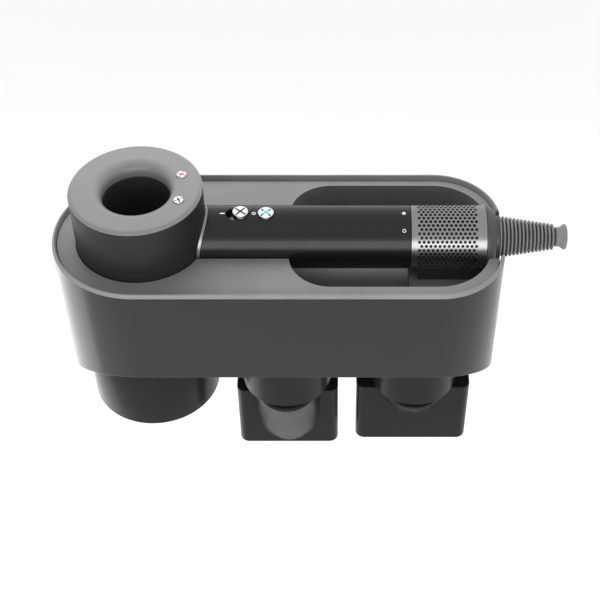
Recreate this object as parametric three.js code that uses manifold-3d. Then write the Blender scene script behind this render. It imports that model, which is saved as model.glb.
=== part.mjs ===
// Wall-mounted hair-dryer styling station: a holder with a head well, a handle channel and a
// finger pocket, a hollow-headed dryer lying in it, and three attachments hanging below it,
// between the holder's sloping cheeks.
// Millimetres, +Z up, +X along the holder, +Y towards the wall.
//
// Everything is laid out from the axis of the dryer's head, just above the holder's deck.
// The last group moves it all so that the origin is the centre of the face on the wall.

import * as THREE from 'three';
import { mergeVertices } from 'three/addons/utils/BufferGeometryUtils.js';
import Module from 'manifold-3d';

const wasm = await Module();
wasm.setup();

// ---------------------------------------------------------------- driving dimensions
const GAP = 0.3; // clearance between pieces that meet
const OVER = 1; // how far a cutting shape runs past what it cuts

// Holder
const HOLDER_HALF_DEPTH = 53.4;
const HOLDER_LEFT = -HOLDER_HALF_DEPTH; // the left end is a full half circle about the head axis
const HOLDER_RIGHT = 216.5;
const HOLDER_CORNER = 40; // radius of the two right-hand corners
const FRONT_HEIGHT = 69.4;
const CHEEK_SLOPE = 0.73; // the lower edge falls this much per millimetre towards the wall
const BACK_HEIGHT = FRONT_HEIGHT + CHEEK_SLOPE * 2 * HOLDER_HALF_DEPTH;
const WALL = 5;
const RIM_RISE = 2.4; // the rim stands this far above the plane that all heights are taken from
const RIM_WALL = 2.2; // the wall is thinner above the ledge that carries the tray
const RIM_BEVEL = 0.9;
const DECK_TOP = -0.8;
const DECK_INSET = 3; // the tray's deck, drawn in from the holder's outside
const SKIN = 2.5; // thickness of the tray's deck, cups and walls
const LEDGE = DECK_TOP - SKIN - GAP;
const BASE_THICK = 2.6;
const BASE_TOP = BASE_THICK - FRONT_HEIGHT;

// Head well, handle channel and finger pocket in the tray
const WELL_R = 39.5;
const WELL_FLOOR = -61;
const WELL_DRAIN_R = 16;
const CHANNEL_R = 19.5;
const POCKET_LEFT = 88.5;
const POCKET_RIGHT = 208;
const POCKET_FRONT = -42.6;
const POCKET_BACK = 45.5;
const POCKET_FLOOR = -31.4;
const POCKET_LEFT_R = 25;
const POCKET_RIGHT_R = 32;
const STEP_X = 160.6; // the floor rises here, under the filter cage
const STEP_FLOOR = -24;
const CORD_SLOT_X = 200; // the way out for the cord starts here
const POST_R = 4;
const POSTS = [[48, -38], [48, 38], [198, -28], [198, 28]];
const SADDLE_HALF_Y = 14;
const SADDLE_TOP = -12;

// Magnets on the base that hold the attachments
const DOCK_INNER_R = 14;
const DOCK_OUTER_R = 24;
const DOCK_HEIGHT = 2;

// Wall fixing
const PLATE_THICK = 3;
const PLATE_HALF_X = 100;
const PLATE_HALF_Z = 50;
const PLATE_CORNER = 8;
const PAD_THICK = 1.2;
const PAD_HALF_X = 66;
const PAD_HALF_Z = 42;
const PAD_CORNER = 6;
const PLATE_SCREW_X = 76;
const PLATE_SCREW_Z = 38;
const HOLDER_MID_X = (HOLDER_LEFT + HOLDER_RIGHT) / 2;
const PLATE_Z = -BACK_HEIGHT / 2;
const PLATE_Y = HOLDER_HALF_DEPTH + GAP;
const PAD_Y = PLATE_Y + PLATE_THICK + GAP;
const WALL_Y = PAD_Y + PAD_THICK;

// Countersunk screws
const SCREW_HEAD_R = 3.2;
const SCREW_HEAD_H = 2;
const SCREW_SHANK_R = 1.5;
const SCREW_LENGTH = 7;

// Dryer head
const HEAD_R = 39;
const HEAD_TOP = 37.8;
const HEAD_LENGTH = 97;
const HEAD_BOTTOM = HEAD_TOP - HEAD_LENGTH;
const HEAD_WALL = 2;
const FACE_THICK = 2;
const FACE_CHAMFER = 1.7;
const BORE_R = 20;
const LIP_R = 6.7; // rounding of the funnel lip between the face and the bore
const LIP_DEPTH = 8.8;
const TUBE_WALL = 1.8;
const OUTLET_INNER_R = 24.5;
const OUTLET_THICK = 2.5;
const HEAD_MAGNET = { inner: 27, outer: 35, height: 3 };
const HEATER = { outer: 34, low: -48, high: -26 };
const BUTTON_BOARD_DROP = 10; // below the face
const BOARD_THICK = 1.6;
const BUTTON_BOARD_X = 12; // the board fills the ring beyond this
const FACE_BUTTON_R = 3;
const FACE_BUTTON_AT = 28.4;
const FACE_BUTTON_ANGLE = 23 * Math.PI / 180;
const FACE_BUTTON_PROUD = 0.6;
const FACE_BUTTON_TRAVEL = 1.4;

// Dryer handle
const HANDLE_R = 19;
const HANDLE_Z = -1.5;
const HANDLE_WALL = 2;
const HANDLE_INNER = HANDLE_R - HANDLE_WALL;
const HANDLE_END = 160.5;
const NECK_WIDTH = 2;
const HANDLE_TOP = HANDLE_Z + HANDLE_R;
const SLIDER_X = 60;
const SLIDER_R = 4.65;
const SLIDER_TRAVEL = 3.6;
const SLIDER_CLEARANCE = 0.4;
const SLIDER_PROUD = 1.8;
const TRACK_DROP = 4.2;
const TRACK_THICK = 1.5;
const TRACK_HALF_Y = 8;
const COOL_X = 75;
const COOL_R = 4.7;
const COOL_PROUD = 1;
const BUTTON_HEIGHT = 6;
const MAIN_BOARD = { start: 48, end: 104, halfY: 11, drop: 9.5 };

// Motor, in the handle
const MOTOR_START = 118;
const MOTOR_END = 142;
const STATOR_INNER = 6.5;
const STATOR_R = 13.2;
const ROTOR_CORE_R = 6;
const SHAFT_R = 2.4;
const IMPELLER_X = 146;
const IMPELLER_R = 13.5;
const BLADES = 9;
const GUIDE_START = 156.4;
const GUIDE_END = 158.4;

// Filter cage, end cap and strain relief
const CAGE_START = HANDLE_END + GAP;
const CAGE_END = 205.1;
const CAGE_WALL = 1.4;
const SCREEN_R = 16.9;
const SCREEN_THICK = 0.8;
const CAP_END = 211;
const CAP_HOLE_R = 13.4;
const GLAND_R = 12.6;
const STEM_R = 5.8;
const STEM_BORE_R = 3.6;
const RELIEF_START = 213.6;
const RELIEF_END = 254.3;
const RELIEF_ROOT_R = 12.7;
const RELIEF_TIP_R = 7.6;
const RELIEF_RIBS = 15;
const RELIEF_PITCH = 2.26;
const RELIEF_GROOVE = 1.6;
const CORD_HOLE_R = 3.7;

// Attachments below the base
const HANG_Z = -FRONT_HEIGHT - GAP;
const RING_H = 3;
const RING_WIDTH = 6;
const DIFFUSER = { x: -2.6, y: 0, r: 41.2, height: 60.3, edge: 1, wall: 2.4, ringR: 34 };
const GRILLE = { rise: 12, thick: 2, slotStart: 10, slotEnd: 32, prongAt: 24, prongR: 2.5 };
const SLIM = {
  name: 'slim_nozzle', x: 85.3, y: -24, collarR: 28.2, collarEnd: -98.8,
  halfX: 32.6, top: -107.2, bottom: -160.2, slotY: 3,
  throat: { startX: 22.3, endX: 12, startY: 30.6, endY: 8, end: -159, power: 8 },
};
const WIDE = {
  name: 'wide_nozzle', x: 166, y: -24, collarR: 27, collarEnd: -98.8,
  halfX: 36.4, top: -103.8, bottom: -155.9, slotY: 2.6,
  throat: { startX: 22, endX: 15.5, startY: 29.3, endY: 8, end: -130.4, power: 1 },
};
const NECK_DROP = 1; // the groove between a nozzle's collar and its throat
const NECK_INSET = 3;
const BLADE_HALF_Y = 8.3;
const NOZZLE_WALL = 2.6;
const NOZZLE_CORNER = 5.8;
const OUTLET_DEPTH = 22;

// ---------------------------------------------------------------- finishes
function finish(color, roughness, metalness = 0) {
  return new THREE.MeshStandardMaterial({ color, roughness, metalness });
}

const SHELL_GREY = finish(0x3c3c3d, 0.42);
const TRAY_GREY = finish(0x757576, 0.5);
const FACE_GREY = finish(0x9a9a9a, 0.45, 0.2);
const HEAD_GREY = finish(0x343436, 0.4);
const HANDLE_GREY = finish(0x39393a, 0.38);
const BORE_GREY = finish(0x1e1e20, 0.3);
const CAGE_METAL = finish(0xa4a4a5, 0.35, 0.8);
const BRIGHT_METAL = finish(0xd8d8da, 0.2, 0.9);
const STEEL = finish(0x9c9da0, 0.4, 0.9);
const RUBBER = finish(0x2a2a2b, 0.8);
const RELIEF_GREY = finish(0x6e6e6f, 0.6);
const BOARD = finish(0x1d4a32, 0.6);
const CERAMIC = finish(0xc9c2b2, 0.7);
const NOZZLE_GREY = finish(0x38383a, 0.4);
const FOAM = finish(0xdadad6, 0.9);

// ---------------------------------------------------------------- shape helpers
// A geometry with shared vertices merged and every face turned outwards.
function closed(geometry) {
  const bare = geometry.clone();
  bare.deleteAttribute('normal');
  bare.deleteAttribute('uv');
  const merged = mergeVertices(bare, 1e-4);
  const p = merged.attributes.position;
  const index = Array.from(merged.index.array);
  const faces = [];
  let volume = 0;
  for (let i = 0; i < index.length; i += 3) {
    const [a, b, c] = index.slice(i, i + 3);
    if (a === b || b === c || c === a) continue;
    faces.push([a, b, c]);
    const va = new THREE.Vector3().fromBufferAttribute(p, a);
    const vb = new THREE.Vector3().fromBufferAttribute(p, b);
    const vc = new THREE.Vector3().fromBufferAttribute(p, c);
    volume += va.dot(vb.cross(vc));
  }
  merged.setIndex(faces.flatMap(([a, b, c]) => (volume < 0 ? [a, c, b] : [a, b, c])));
  return merged;
}

function solid(geometry) {
  const shape = closed(geometry);
  const mesh = new wasm.Mesh({
    numProp: 3,
    vertProperties: new Float32Array(shape.attributes.position.array),
    triVerts: new Uint32Array(shape.index.array),
  });
  return new wasm.Manifold(mesh);
}

function geometryOf(manifold) {
  const mesh = manifold.getMesh();
  const geometry = new THREE.BufferGeometry();
  geometry.setAttribute('position', new THREE.BufferAttribute(mesh.vertProperties, 3));
  geometry.setIndex(Array.from(mesh.triVerts));
  return geometry;
}

function join(...geometries) {
  const solids = geometries.map(solid);
  return geometryOf(solids.reduce((whole, next) => whole.add(next)));
}

function cut(geometry, ...tools) {
  return geometryOf(tools.reduce((rest, tool) => rest.subtract(solid(tool)), solid(geometry)));
}

function common(a, b) {
  return geometryOf(solid(a).intersect(solid(b)));
}

function box(x0, x1, y0, y1, z0, z1) {
  const geometry = new THREE.BoxGeometry(x1 - x0, y1 - y0, z1 - z0);
  return geometry.translate((x0 + x1) / 2, (y0 + y1) / 2, (z0 + z1) / 2);
}

// A round bar along Z, or along X on the handle's axis.
function rod(r, z0, z1, x = 0, y = 0, sides = 24) {
  const geometry = new THREE.CylinderGeometry(r, r, z1 - z0, sides).rotateX(Math.PI / 2);
  return geometry.translate(x, y, (z0 + z1) / 2);
}

function handleRod(r, x0, x1, sides = 28) {
  const geometry = new THREE.CylinderGeometry(r, r, x1 - x0, sides).rotateZ(Math.PI / 2);
  return geometry.translate((x0 + x1) / 2, 0, HANDLE_Z);
}

// A profile of [radius, height] points turned about Z; it closes on itself.
function turned(points, sides = 40) {
  const outline = [...points, points[0]].map(([r, z]) => new THREE.Vector2(r, z));
  return new THREE.LatheGeometry(outline, sides).rotateX(Math.PI / 2);
}

// The same about the handle's axis, with [radius, x] points.
function handleTurned(points, sides = 28) {
  return turned(points, sides).rotateY(Math.PI / 2).translate(0, 0, HANDLE_Z);
}

function ring(inner, outer, z0, z1, sides = 40) {
  return turned([[inner, z0], [outer, z0], [outer, z1], [inner, z1]], sides);
}

function handleRing(inner, outer, x0, x1, sides = 28) {
  return handleTurned([[inner, x0], [outer, x0], [outer, x1], [inner, x1]], sides);
}

function arc(cx, cy, r, from, to, steps) {
  return Array.from({ length: steps + 1 }, (_, i) => {
    const angle = (from + (to - from) * i / steps) * Math.PI / 180;
    return [cx + r * Math.cos(angle), cy + r * Math.sin(angle)];
  });
}

// A flat outline of [x, y] points given height.
function slab(points, z0, z1) {
  const shape = new THREE.Shape(points.map(([x, y]) => new THREE.Vector2(x, y)));
  const options = { depth: z1 - z0, bevelEnabled: false };
  return new THREE.ExtrudeGeometry(shape, options).translate(0, 0, z0);
}

// A rectangle with one radius on its left corners and another on its right corners.
function roundedRectangle(x0, x1, y0, y1, leftR, rightR = leftR, steps = 6) {
  return [
    ...arc(x0 + leftR, y0 + leftR, leftR, 180, 270, steps),
    ...arc(x1 - rightR, y0 + rightR, rightR, 270, 360, steps),
    ...arc(x1 - rightR, y1 - rightR, rightR, 0, 90, steps),
    ...arc(x0 + leftR, y1 - leftR, leftR, 90, 180, steps),
  ];
}

// The holder's outline seen from above, drawn in by inset.
function holderOutline(inset) {
  const cornerX = HOLDER_RIGHT - HOLDER_CORNER;
  const cornerY = HOLDER_HALF_DEPTH - HOLDER_CORNER;
  return [
    ...arc(0, 0, HOLDER_HALF_DEPTH - inset, 90, 270, 28),
    ...arc(cornerX, -cornerY, HOLDER_CORNER - inset, 270, 360, 10),
    ...arc(cornerX, cornerY, HOLDER_CORNER - inset, 0, 90, 10),
  ];
}

// A U-shaped opening along X through the holder's right end, as wide as the channel.
function cordSlot() {
  return join(
    handleRod(CHANNEL_R, CORD_SLOT_X, HOLDER_RIGHT + OVER),
    box(CORD_SLOT_X, HOLDER_RIGHT + OVER, -CHANNEL_R, CHANNEL_R, HANDLE_Z, RIM_RISE + OVER),
  );
}

// The height of the holder's lower edge, which falls towards the wall.
function lowerEdge(y) {
  return -FRONT_HEIGHT - CHEEK_SLOPE * (y + HOLDER_HALF_DEPTH);
}

// A closed band through rings of [x, y, z] points, each joined to the next and the last to the first.
function loft(rings) {
  const count = rings[0].length;
  const faces = [];
  rings.forEach((points, i) => {
    const start = i * count;
    const other = ((i + 1) % rings.length) * count;
    points.forEach((point, k) => {
      const next = (k + 1) % count;
      faces.push(start + k, start + next, other + next, start + k, other + next, other + k);
    });
  });
  const geometry = new THREE.BufferGeometry();
  geometry.setAttribute('position', new THREE.Float32BufferAttribute(rings.flat(2), 3));
  geometry.setIndex(faces);
  return geometry;
}

// ---------------------------------------------------------------- the model and its nodes
const station = new THREE.Group();
station.name = 'styling_station';
station.position.set(-HOLDER_MID_X, -WALL_Y, -PLATE_Z);

function add(name, geometry, material, x = 0, y = 0, z = 0) {
  const mesh = new THREE.Mesh(closed(geometry), material);
  mesh.name = name;
  mesh.position.set(x, y, z);
  station.add(mesh);
}

// ---------------------------------------------------------------- screws
// A countersunk screw with its head's flat at z = 0 and its shank towards +Z.
function screw() {
  return new THREE.LatheGeometry([
    new THREE.Vector2(0, 0),
    new THREE.Vector2(SCREW_HEAD_R, 0),
    new THREE.Vector2(SCREW_SHANK_R, SCREW_HEAD_H),
    new THREE.Vector2(SCREW_SHANK_R, SCREW_LENGTH),
    new THREE.Vector2(0, SCREW_LENGTH),
  ], 10).rotateX(Math.PI / 2);
}

// The hole that the same screw needs, with clearance all round.
function screwHole() {
  const headR = SCREW_HEAD_R + GAP;
  const shankR = SCREW_SHANK_R + GAP;
  return new THREE.LatheGeometry([
    new THREE.Vector2(0, -OVER),
    new THREE.Vector2(headR, -OVER),
    new THREE.Vector2(headR, 0),
    new THREE.Vector2(shankR, SCREW_HEAD_H + GAP),
    new THREE.Vector2(shankR, SCREW_LENGTH + GAP),
    new THREE.Vector2(0, SCREW_LENGTH + GAP),
  ], 10).rotateX(Math.PI / 2);
}

// ---------------------------------------------------------------- holder
function plateScrewPlaces() {
  return [[-1, -1], [1, -1], [-1, 1], [1, 1]].map(([sx, sz]) => [
    HOLDER_MID_X + sx * PLATE_SCREW_X,
    PLATE_Y + PLATE_THICK,
    PLATE_Z + sz * PLATE_SCREW_Z,
  ]);
}

// A hole tool from the wall side: the screw's shank points away from the wall.
function plateScrewHoles() {
  return plateScrewPlaces().map(([x, y, z]) => screwHole().rotateX(Math.PI / 2).translate(x, y, z));
}

function addShell() {
  const outer = holderOutline(0);
  const inner = holderOutline(WALL);
  const level = (outline, z) => outline.map(([x, y]) => [x, y, z]);
  const wall = loft([
    level(holderOutline(RIM_BEVEL), RIM_RISE),
    level(outer, 0),
    outer.map(([x, y]) => [x, y, lowerEdge(y)]),
    inner.map(([x, y], i) => [x, y, lowerEdge(outer[i][1])]),
    level(inner, LEDGE),
    level(holderOutline(RIM_WALL), LEDGE),
    level(holderOutline(RIM_WALL), RIM_RISE),
  ]);
  add('holder_shell', cut(wall, cordSlot(), ...plateScrewHoles()), SHELL_GREY);
}

function addTray() {
  const top = DECK_TOP;
  const pocket = roundedRectangle(
    POCKET_LEFT, POCKET_RIGHT, POCKET_FRONT, POCKET_BACK, POCKET_LEFT_R, POCKET_RIGHT_R,
  );
  const bucket = roundedRectangle(
    POCKET_LEFT - SKIN, POCKET_RIGHT + SKIN, POCKET_FRONT - SKIN, POCKET_BACK + SKIN,
    POCKET_LEFT_R + SKIN, POCKET_RIGHT_R + SKIN,
  );
  const posts = POSTS.map(([x, y]) => {
    const under = x > STEP_X ? STEP_FLOOR - SKIN / 2 : top - SKIN / 2;
    return rod(POST_R, BASE_TOP + GAP, under, x, y, 12);
  });
  const lumps = join(
    rod(WELL_R + SKIN, WELL_FLOOR - SKIN, top - SKIN / 2, 0, 0, 48),
    handleRod(CHANNEL_R + SKIN, WELL_R, POCKET_LEFT + OVER),
    slab(bucket, POCKET_FLOOR - SKIN, top - SKIN / 2),
  );
  const inside = slab(holderOutline(WALL + GAP), -FRONT_HEIGHT, top - SKIN / 2);
  const hollows = cut(
    join(slab(holderOutline(DECK_INSET), top - SKIN, top), common(lumps, inside)),
    rod(WELL_R, WELL_FLOOR, OVER, 0, 0, 48),
    rod(WELL_DRAIN_R, WELL_FLOOR - SKIN - OVER, OVER, 0, 0, 24),
    handleRod(CHANNEL_R, 0, POCKET_LEFT + SKIN),
    box(0, POCKET_LEFT + SKIN, -CHANNEL_R, CHANNEL_R, HANDLE_Z, OVER),
    cut(
      slab(pocket, POCKET_FLOOR, OVER),
      box(STEP_X, HOLDER_RIGHT, POCKET_FRONT, POCKET_BACK, POCKET_FLOOR - OVER, STEP_FLOOR),
    ),
    box(
      STEP_X + SKIN, POCKET_RIGHT - POCKET_RIGHT_R / 3, POCKET_FRONT + SKIN, POCKET_BACK - SKIN,
      POCKET_FLOOR - SKIN - OVER, STEP_FLOOR - SKIN,
    ),
    cordSlot(),
  );
  const withPosts = join(hollows, ...posts);
  add('top_tray', cut(withPosts, ...baseScrewHoles()), TRAY_GREY);
}

function baseScrewHoles() {
  return POSTS.map(([x, y]) => screwHole().translate(x, y, -FRONT_HEIGHT));
}

function addBase() {
  const panel = slab(holderOutline(WALL + GAP), -FRONT_HEIGHT, BASE_TOP);
  add('base_plate', cut(panel, ...baseScrewHoles()), SHELL_GREY);
  POSTS.forEach(([x, y], i) => {
    add(`base_screw_${i + 1}`, screw(), STEEL, x, y, -FRONT_HEIGHT);
  });
  const magnetLow = BASE_TOP + GAP;
  const magnet = ring(DOCK_INNER_R, DOCK_OUTER_R, magnetLow, magnetLow + DOCK_HEIGHT, 16);
  [['left', DIFFUSER], ['middle', SLIM], ['right', WIDE]].forEach(([side, part]) => {
    add(`dock_magnet_${side}`, magnet, STEEL, part.x, part.y, 0);
  });
}

function addPads() {
  const padHigh = HEAD_BOTTOM - GAP;
  add('head_pad', ring(OUTLET_INNER_R, HEAD_R - 1, WELL_FLOOR + GAP, padHigh), RUBBER);
  const block = box(
    STEP_X + 5, CAGE_END - 2, -SADDLE_HALF_Y, SADDLE_HALF_Y, STEP_FLOOR + GAP, SADDLE_TOP,
  );
  const saddle = cut(block, handleRod(CHANNEL_R, STEP_X, CAGE_END));
  add('cradle_pad', saddle, RUBBER);
}

function addWallFixing() {
  const plateOutline = roundedRectangle(
    -PLATE_HALF_X, PLATE_HALF_X, -PLATE_HALF_Z, PLATE_HALF_Z, PLATE_CORNER,
  );
  const padOutline = roundedRectangle(
    -PAD_HALF_X, PAD_HALF_X, -PAD_HALF_Z, PAD_HALF_Z, PAD_CORNER,
  );
  const place = (outline, thick, y) => slab(outline, 0, thick)
    .rotateX(Math.PI / 2)
    .translate(HOLDER_MID_X, y + thick, PLATE_Z);
  add('wall_plate', cut(place(plateOutline, PLATE_THICK, PLATE_Y), ...plateScrewHoles()), STEEL);
  add('adhesive_pad', place(padOutline, PAD_THICK, PAD_Y), FOAM);
  plateScrewPlaces().forEach(([x, y, z], i) => {
    add(`plate_screw_${i + 1}`, screw().rotateX(Math.PI / 2), STEEL, x, y, z);
  });
}

// ---------------------------------------------------------------- dryer head
function headShell() {
  const inner = HEAD_R - HEAD_WALL;
  const top = HEAD_TOP - FACE_THICK - GAP;
  const tube = turned([
    [inner, HEAD_BOTTOM],
    [HEAD_R - FACE_CHAMFER, HEAD_BOTTOM],
    [HEAD_R, HEAD_BOTTOM + FACE_CHAMFER],
    [HEAD_R, top],
    [inner, top],
  ]);
  return cut(tube, handleRod(HANDLE_INNER - 1, BORE_R + TUBE_WALL + 2, HEAD_R + OVER));
}

// The rear face: a flat ring whose inner edge rolls down into the bore.
function headFace() {
  const lip = arc(BORE_R + LIP_R, HEAD_TOP - LIP_R, LIP_R, 90, 180, 4);
  const under = arc(BORE_R + LIP_R, HEAD_TOP - LIP_R, LIP_R - FACE_THICK, 180, 90, 3);
  const face = turned([
    [HEAD_R, HEAD_TOP - FACE_THICK],
    [HEAD_R, HEAD_TOP - FACE_CHAMFER],
    [HEAD_R - FACE_CHAMFER, HEAD_TOP],
    ...lip,
    [BORE_R, HEAD_TOP - LIP_DEPTH],
    [BORE_R + FACE_THICK, HEAD_TOP - LIP_DEPTH],
    ...under,
  ]);
  const holes = [1, -1].map((side) => rod(
    FACE_BUTTON_R + GAP, HEAD_TOP - 5, HEAD_TOP + OVER, ...faceButtonPlace(side), 16,
  ));
  return cut(face, ...holes);
}

function faceButtonPlace(side) {
  const angle = side * FACE_BUTTON_ANGLE;
  return [FACE_BUTTON_AT * Math.cos(angle), FACE_BUTTON_AT * Math.sin(angle)];
}

function addHead() {
  const tubeTop = HEAD_TOP - LIP_DEPTH - GAP;
  const outletR = HEAD_R - HEAD_WALL - GAP;
  const outletHigh = HEAD_BOTTOM + OUTLET_THICK;
  const magnetLow = outletHigh + GAP;
  const boardTop = HEAD_TOP - BUTTON_BOARD_DROP;
  add('head_shell', headShell(), HEAD_GREY);
  add('head_face', headFace(), FACE_GREY);
  add('inner_tube', ring(BORE_R, BORE_R + TUBE_WALL, HEAD_BOTTOM, tubeTop), BORE_GREY);
  add('outlet_ring', ring(OUTLET_INNER_R, outletR, HEAD_BOTTOM, outletHigh), BORE_GREY);
  const { inner, outer, height } = HEAD_MAGNET;
  add('nozzle_magnet', ring(inner, outer, magnetLow, magnetLow + height, 20), STEEL);
  add('heater_ring', ring(OUTLET_INNER_R, HEATER.outer, HEATER.low, HEATER.high, 20), CERAMIC);
  const board = cut(
    ring(BORE_R + TUBE_WALL + 2, HEAD_R - HEAD_WALL - 2, boardTop - BOARD_THICK, boardTop),
    box(-HEAD_R, BUTTON_BOARD_X, -HEAD_R, HEAD_R, boardTop - BOARD_THICK - OVER, boardTop + OVER),
  );
  add('button_board', board, BOARD);
  const stemLow = boardTop + FACE_BUTTON_TRAVEL;
  const stem = rod(FACE_BUTTON_R, stemLow, HEAD_TOP + FACE_BUTTON_PROUD, 0, 0, 16);
  add('heat_button', stem, BRIGHT_METAL, ...faceButtonPlace(1));
  add('speed_button', stem, BRIGHT_METAL, ...faceButtonPlace(-1));
}

// ---------------------------------------------------------------- dryer handle
function addNeck() {
  const start = HEAD_R + GAP;
  const end = start + NECK_WIDTH;
  const tube = cut(
    handleRing(HANDLE_INNER, HANDLE_R, BORE_R, end + OVER),
    rod(start, HEAD_BOTTOM, HEAD_TOP, 0, 0, 48),
  );
  const outside = cut(
    box(0, HEAD_R * 2, -HEAD_R, HEAD_R, HEAD_BOTTOM, HEAD_TOP),
    rod(end, HEAD_BOTTOM - OVER, HEAD_TOP + OVER, 0, 0, 48),
  );
  add('neck_collar', cut(tube, outside), BRIGHT_METAL);
}

// The hole that the power slider runs in.
function sliderSlot() {
  const half = SLIDER_R + SLIDER_CLEARANCE;
  const far = SLIDER_X - SLIDER_TRAVEL;
  const above = HANDLE_TOP + OVER;
  return join(
    rod(half, 0, above, SLIDER_X, 0, 16),
    rod(half, 0, above, far, 0, 16),
    box(far, SLIDER_X, -half, half, 0, above),
  );
}

function addHandle() {
  const tube = cut(
    handleRing(HANDLE_INNER, HANDLE_R, BORE_R, HANDLE_END),
    rod(HEAD_R + GAP + NECK_WIDTH + GAP, HEAD_BOTTOM, HEAD_TOP, 0, 0, 48),
    sliderSlot(),
    rod(COOL_R + SLIDER_CLEARANCE, 0, HANDLE_TOP + OVER, COOL_X, 0, 16),
  );
  add('handle_tube', tube, HANDLE_GREY);

  const trackTop = HANDLE_TOP - TRACK_DROP;
  const trackLow = trackTop - TRACK_THICK;
  const track = box(SLIDER_X - 12, COOL_X + 8, -TRACK_HALF_Y, TRACK_HALF_Y, trackLow, trackTop);
  const coolWell = rod(COOL_R + 1, trackLow - OVER, trackTop + OVER, COOL_X, 0, 16);
  add('slider_track', cut(track, coolWell), STEEL);
  const { start, end, halfY, drop } = MAIN_BOARD;
  const boardTop = HANDLE_TOP - drop;
  add('main_board', box(start, end, -halfY, halfY, boardTop - BOARD_THICK, boardTop), BOARD);

  const sliderTop = HANDLE_TOP + SLIDER_PROUD;
  add('power_slider', rod(SLIDER_R, trackTop + GAP, sliderTop, 0, 0, 16), BRIGHT_METAL, SLIDER_X);
  const coolTop = HANDLE_TOP + COOL_PROUD;
  add('cool_button', rod(COOL_R, coolTop - BUTTON_HEIGHT, coolTop, 0, 0, 16), BRIGHT_METAL, COOL_X);
}

// ---------------------------------------------------------------- motor
// A shaft with a magnet inside the stator and a bladed wheel in front of it.
function rotor() {
  const core = new THREE.LatheGeometry([
    [0, MOTOR_START - 6], [SHAFT_R, MOTOR_START - 6], [SHAFT_R, MOTOR_START + 2],
    [ROTOR_CORE_R, MOTOR_START + 2], [ROTOR_CORE_R, MOTOR_END - 2], [SHAFT_R, MOTOR_END - 2],
    [SHAFT_R, IMPELLER_X], [IMPELLER_R, IMPELLER_X], [IMPELLER_R, IMPELLER_X + 1.2],
    [4, IMPELLER_X + 7], [0, IMPELLER_X + 8],
  ].map(([r, x]) => new THREE.Vector2(r, x)), 20).rotateX(Math.PI / 2);
  const blades = Array.from({ length: BLADES }, (_, i) => (
    box(2, IMPELLER_R - 0.5, -0.5, 0.5, IMPELLER_X + 0.6, IMPELLER_X + 6)
      .rotateZ(i * 2 * Math.PI / BLADES)
  ));
  return join(core, ...blades).rotateY(Math.PI / 2).translate(0, 0, HANDLE_Z);
}

function addMotor() {
  const outer = HANDLE_INNER - GAP;
  add('motor_mount', handleRing(STATOR_R + GAP, outer, MOTOR_START, MOTOR_END, 20), RUBBER);
  add('motor_stator', handleRing(STATOR_INNER, STATOR_R, MOTOR_START, MOTOR_END, 20), STEEL);
  add('motor_rotor', rotor(), BRIGHT_METAL);
  add('inlet_guide', handleRing(STATOR_INNER, outer, GUIDE_START, GUIDE_END, 20), HANDLE_GREY);
}

// ---------------------------------------------------------------- filter cage and cord exit
function addCage() {
  add('filter_cage', handleRing(HANDLE_R - CAGE_WALL, HANDLE_R, CAGE_START, CAGE_END), CAGE_METAL);
  const screenEnd = CAGE_END - 1;
  const screen = handleRing(SCREEN_R - SCREEN_THICK, SCREEN_R, CAGE_START, screenEnd);
  add('mesh_screen', screen, STEEL);
  const cap = handleTurned([
    [CAP_HOLE_R, CAGE_END + GAP],
    [HANDLE_R - 0.2, CAGE_END + GAP],
    [HANDLE_R - 0.6, CAGE_END + 1.6],
    [CAP_HOLE_R + 2.6, CAP_END],
    [CAP_HOLE_R, CAP_END],
  ]);
  add('cage_end_cap', cap, HANDLE_GREY);
}

// The tapering ribbed boot that keeps the cord from kinking, with a flared mouth.
function strainRelief() {
  const profile = [[CORD_HOLE_R, RELIEF_START]];
  const taper = (x) => {
    const t = (x - RELIEF_START) / (RELIEF_RIBS * RELIEF_PITCH);
    return RELIEF_ROOT_R + (RELIEF_TIP_R - RELIEF_ROOT_R) * t;
  };
  for (let i = 0; i < RELIEF_RIBS; i += 1) {
    const x = RELIEF_START + i * RELIEF_PITCH;
    const r = taper(x);
    profile.push([r, x]);
    profile.push([r, x + RELIEF_PITCH * 0.6]);
    profile.push([r - RELIEF_GROOVE, x + RELIEF_PITCH * 0.8]);
  }
  profile.push([5.9, RELIEF_END - 4.4]);
  profile.push([7.7, RELIEF_END - 1.4]);
  profile.push([7, RELIEF_END]);
  profile.push([CORD_HOLE_R, RELIEF_END]);
  return handleTurned(profile, 12);
}

function addCordExit() {
  const stemStart = GUIDE_END + GAP;
  const gland = handleTurned([
    [STEM_BORE_R, stemStart],
    [STEM_R, stemStart],
    [STEM_R, CAGE_END + 1],
    [GLAND_R, CAGE_END + 1],
    [GLAND_R, RELIEF_START - GAP],
    [STEM_BORE_R, RELIEF_START - GAP],
  ], 24);
  add('cord_gland', gland, HANDLE_GREY);
  add('strain_relief', strainRelief(), RELIEF_GREY);
}

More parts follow.
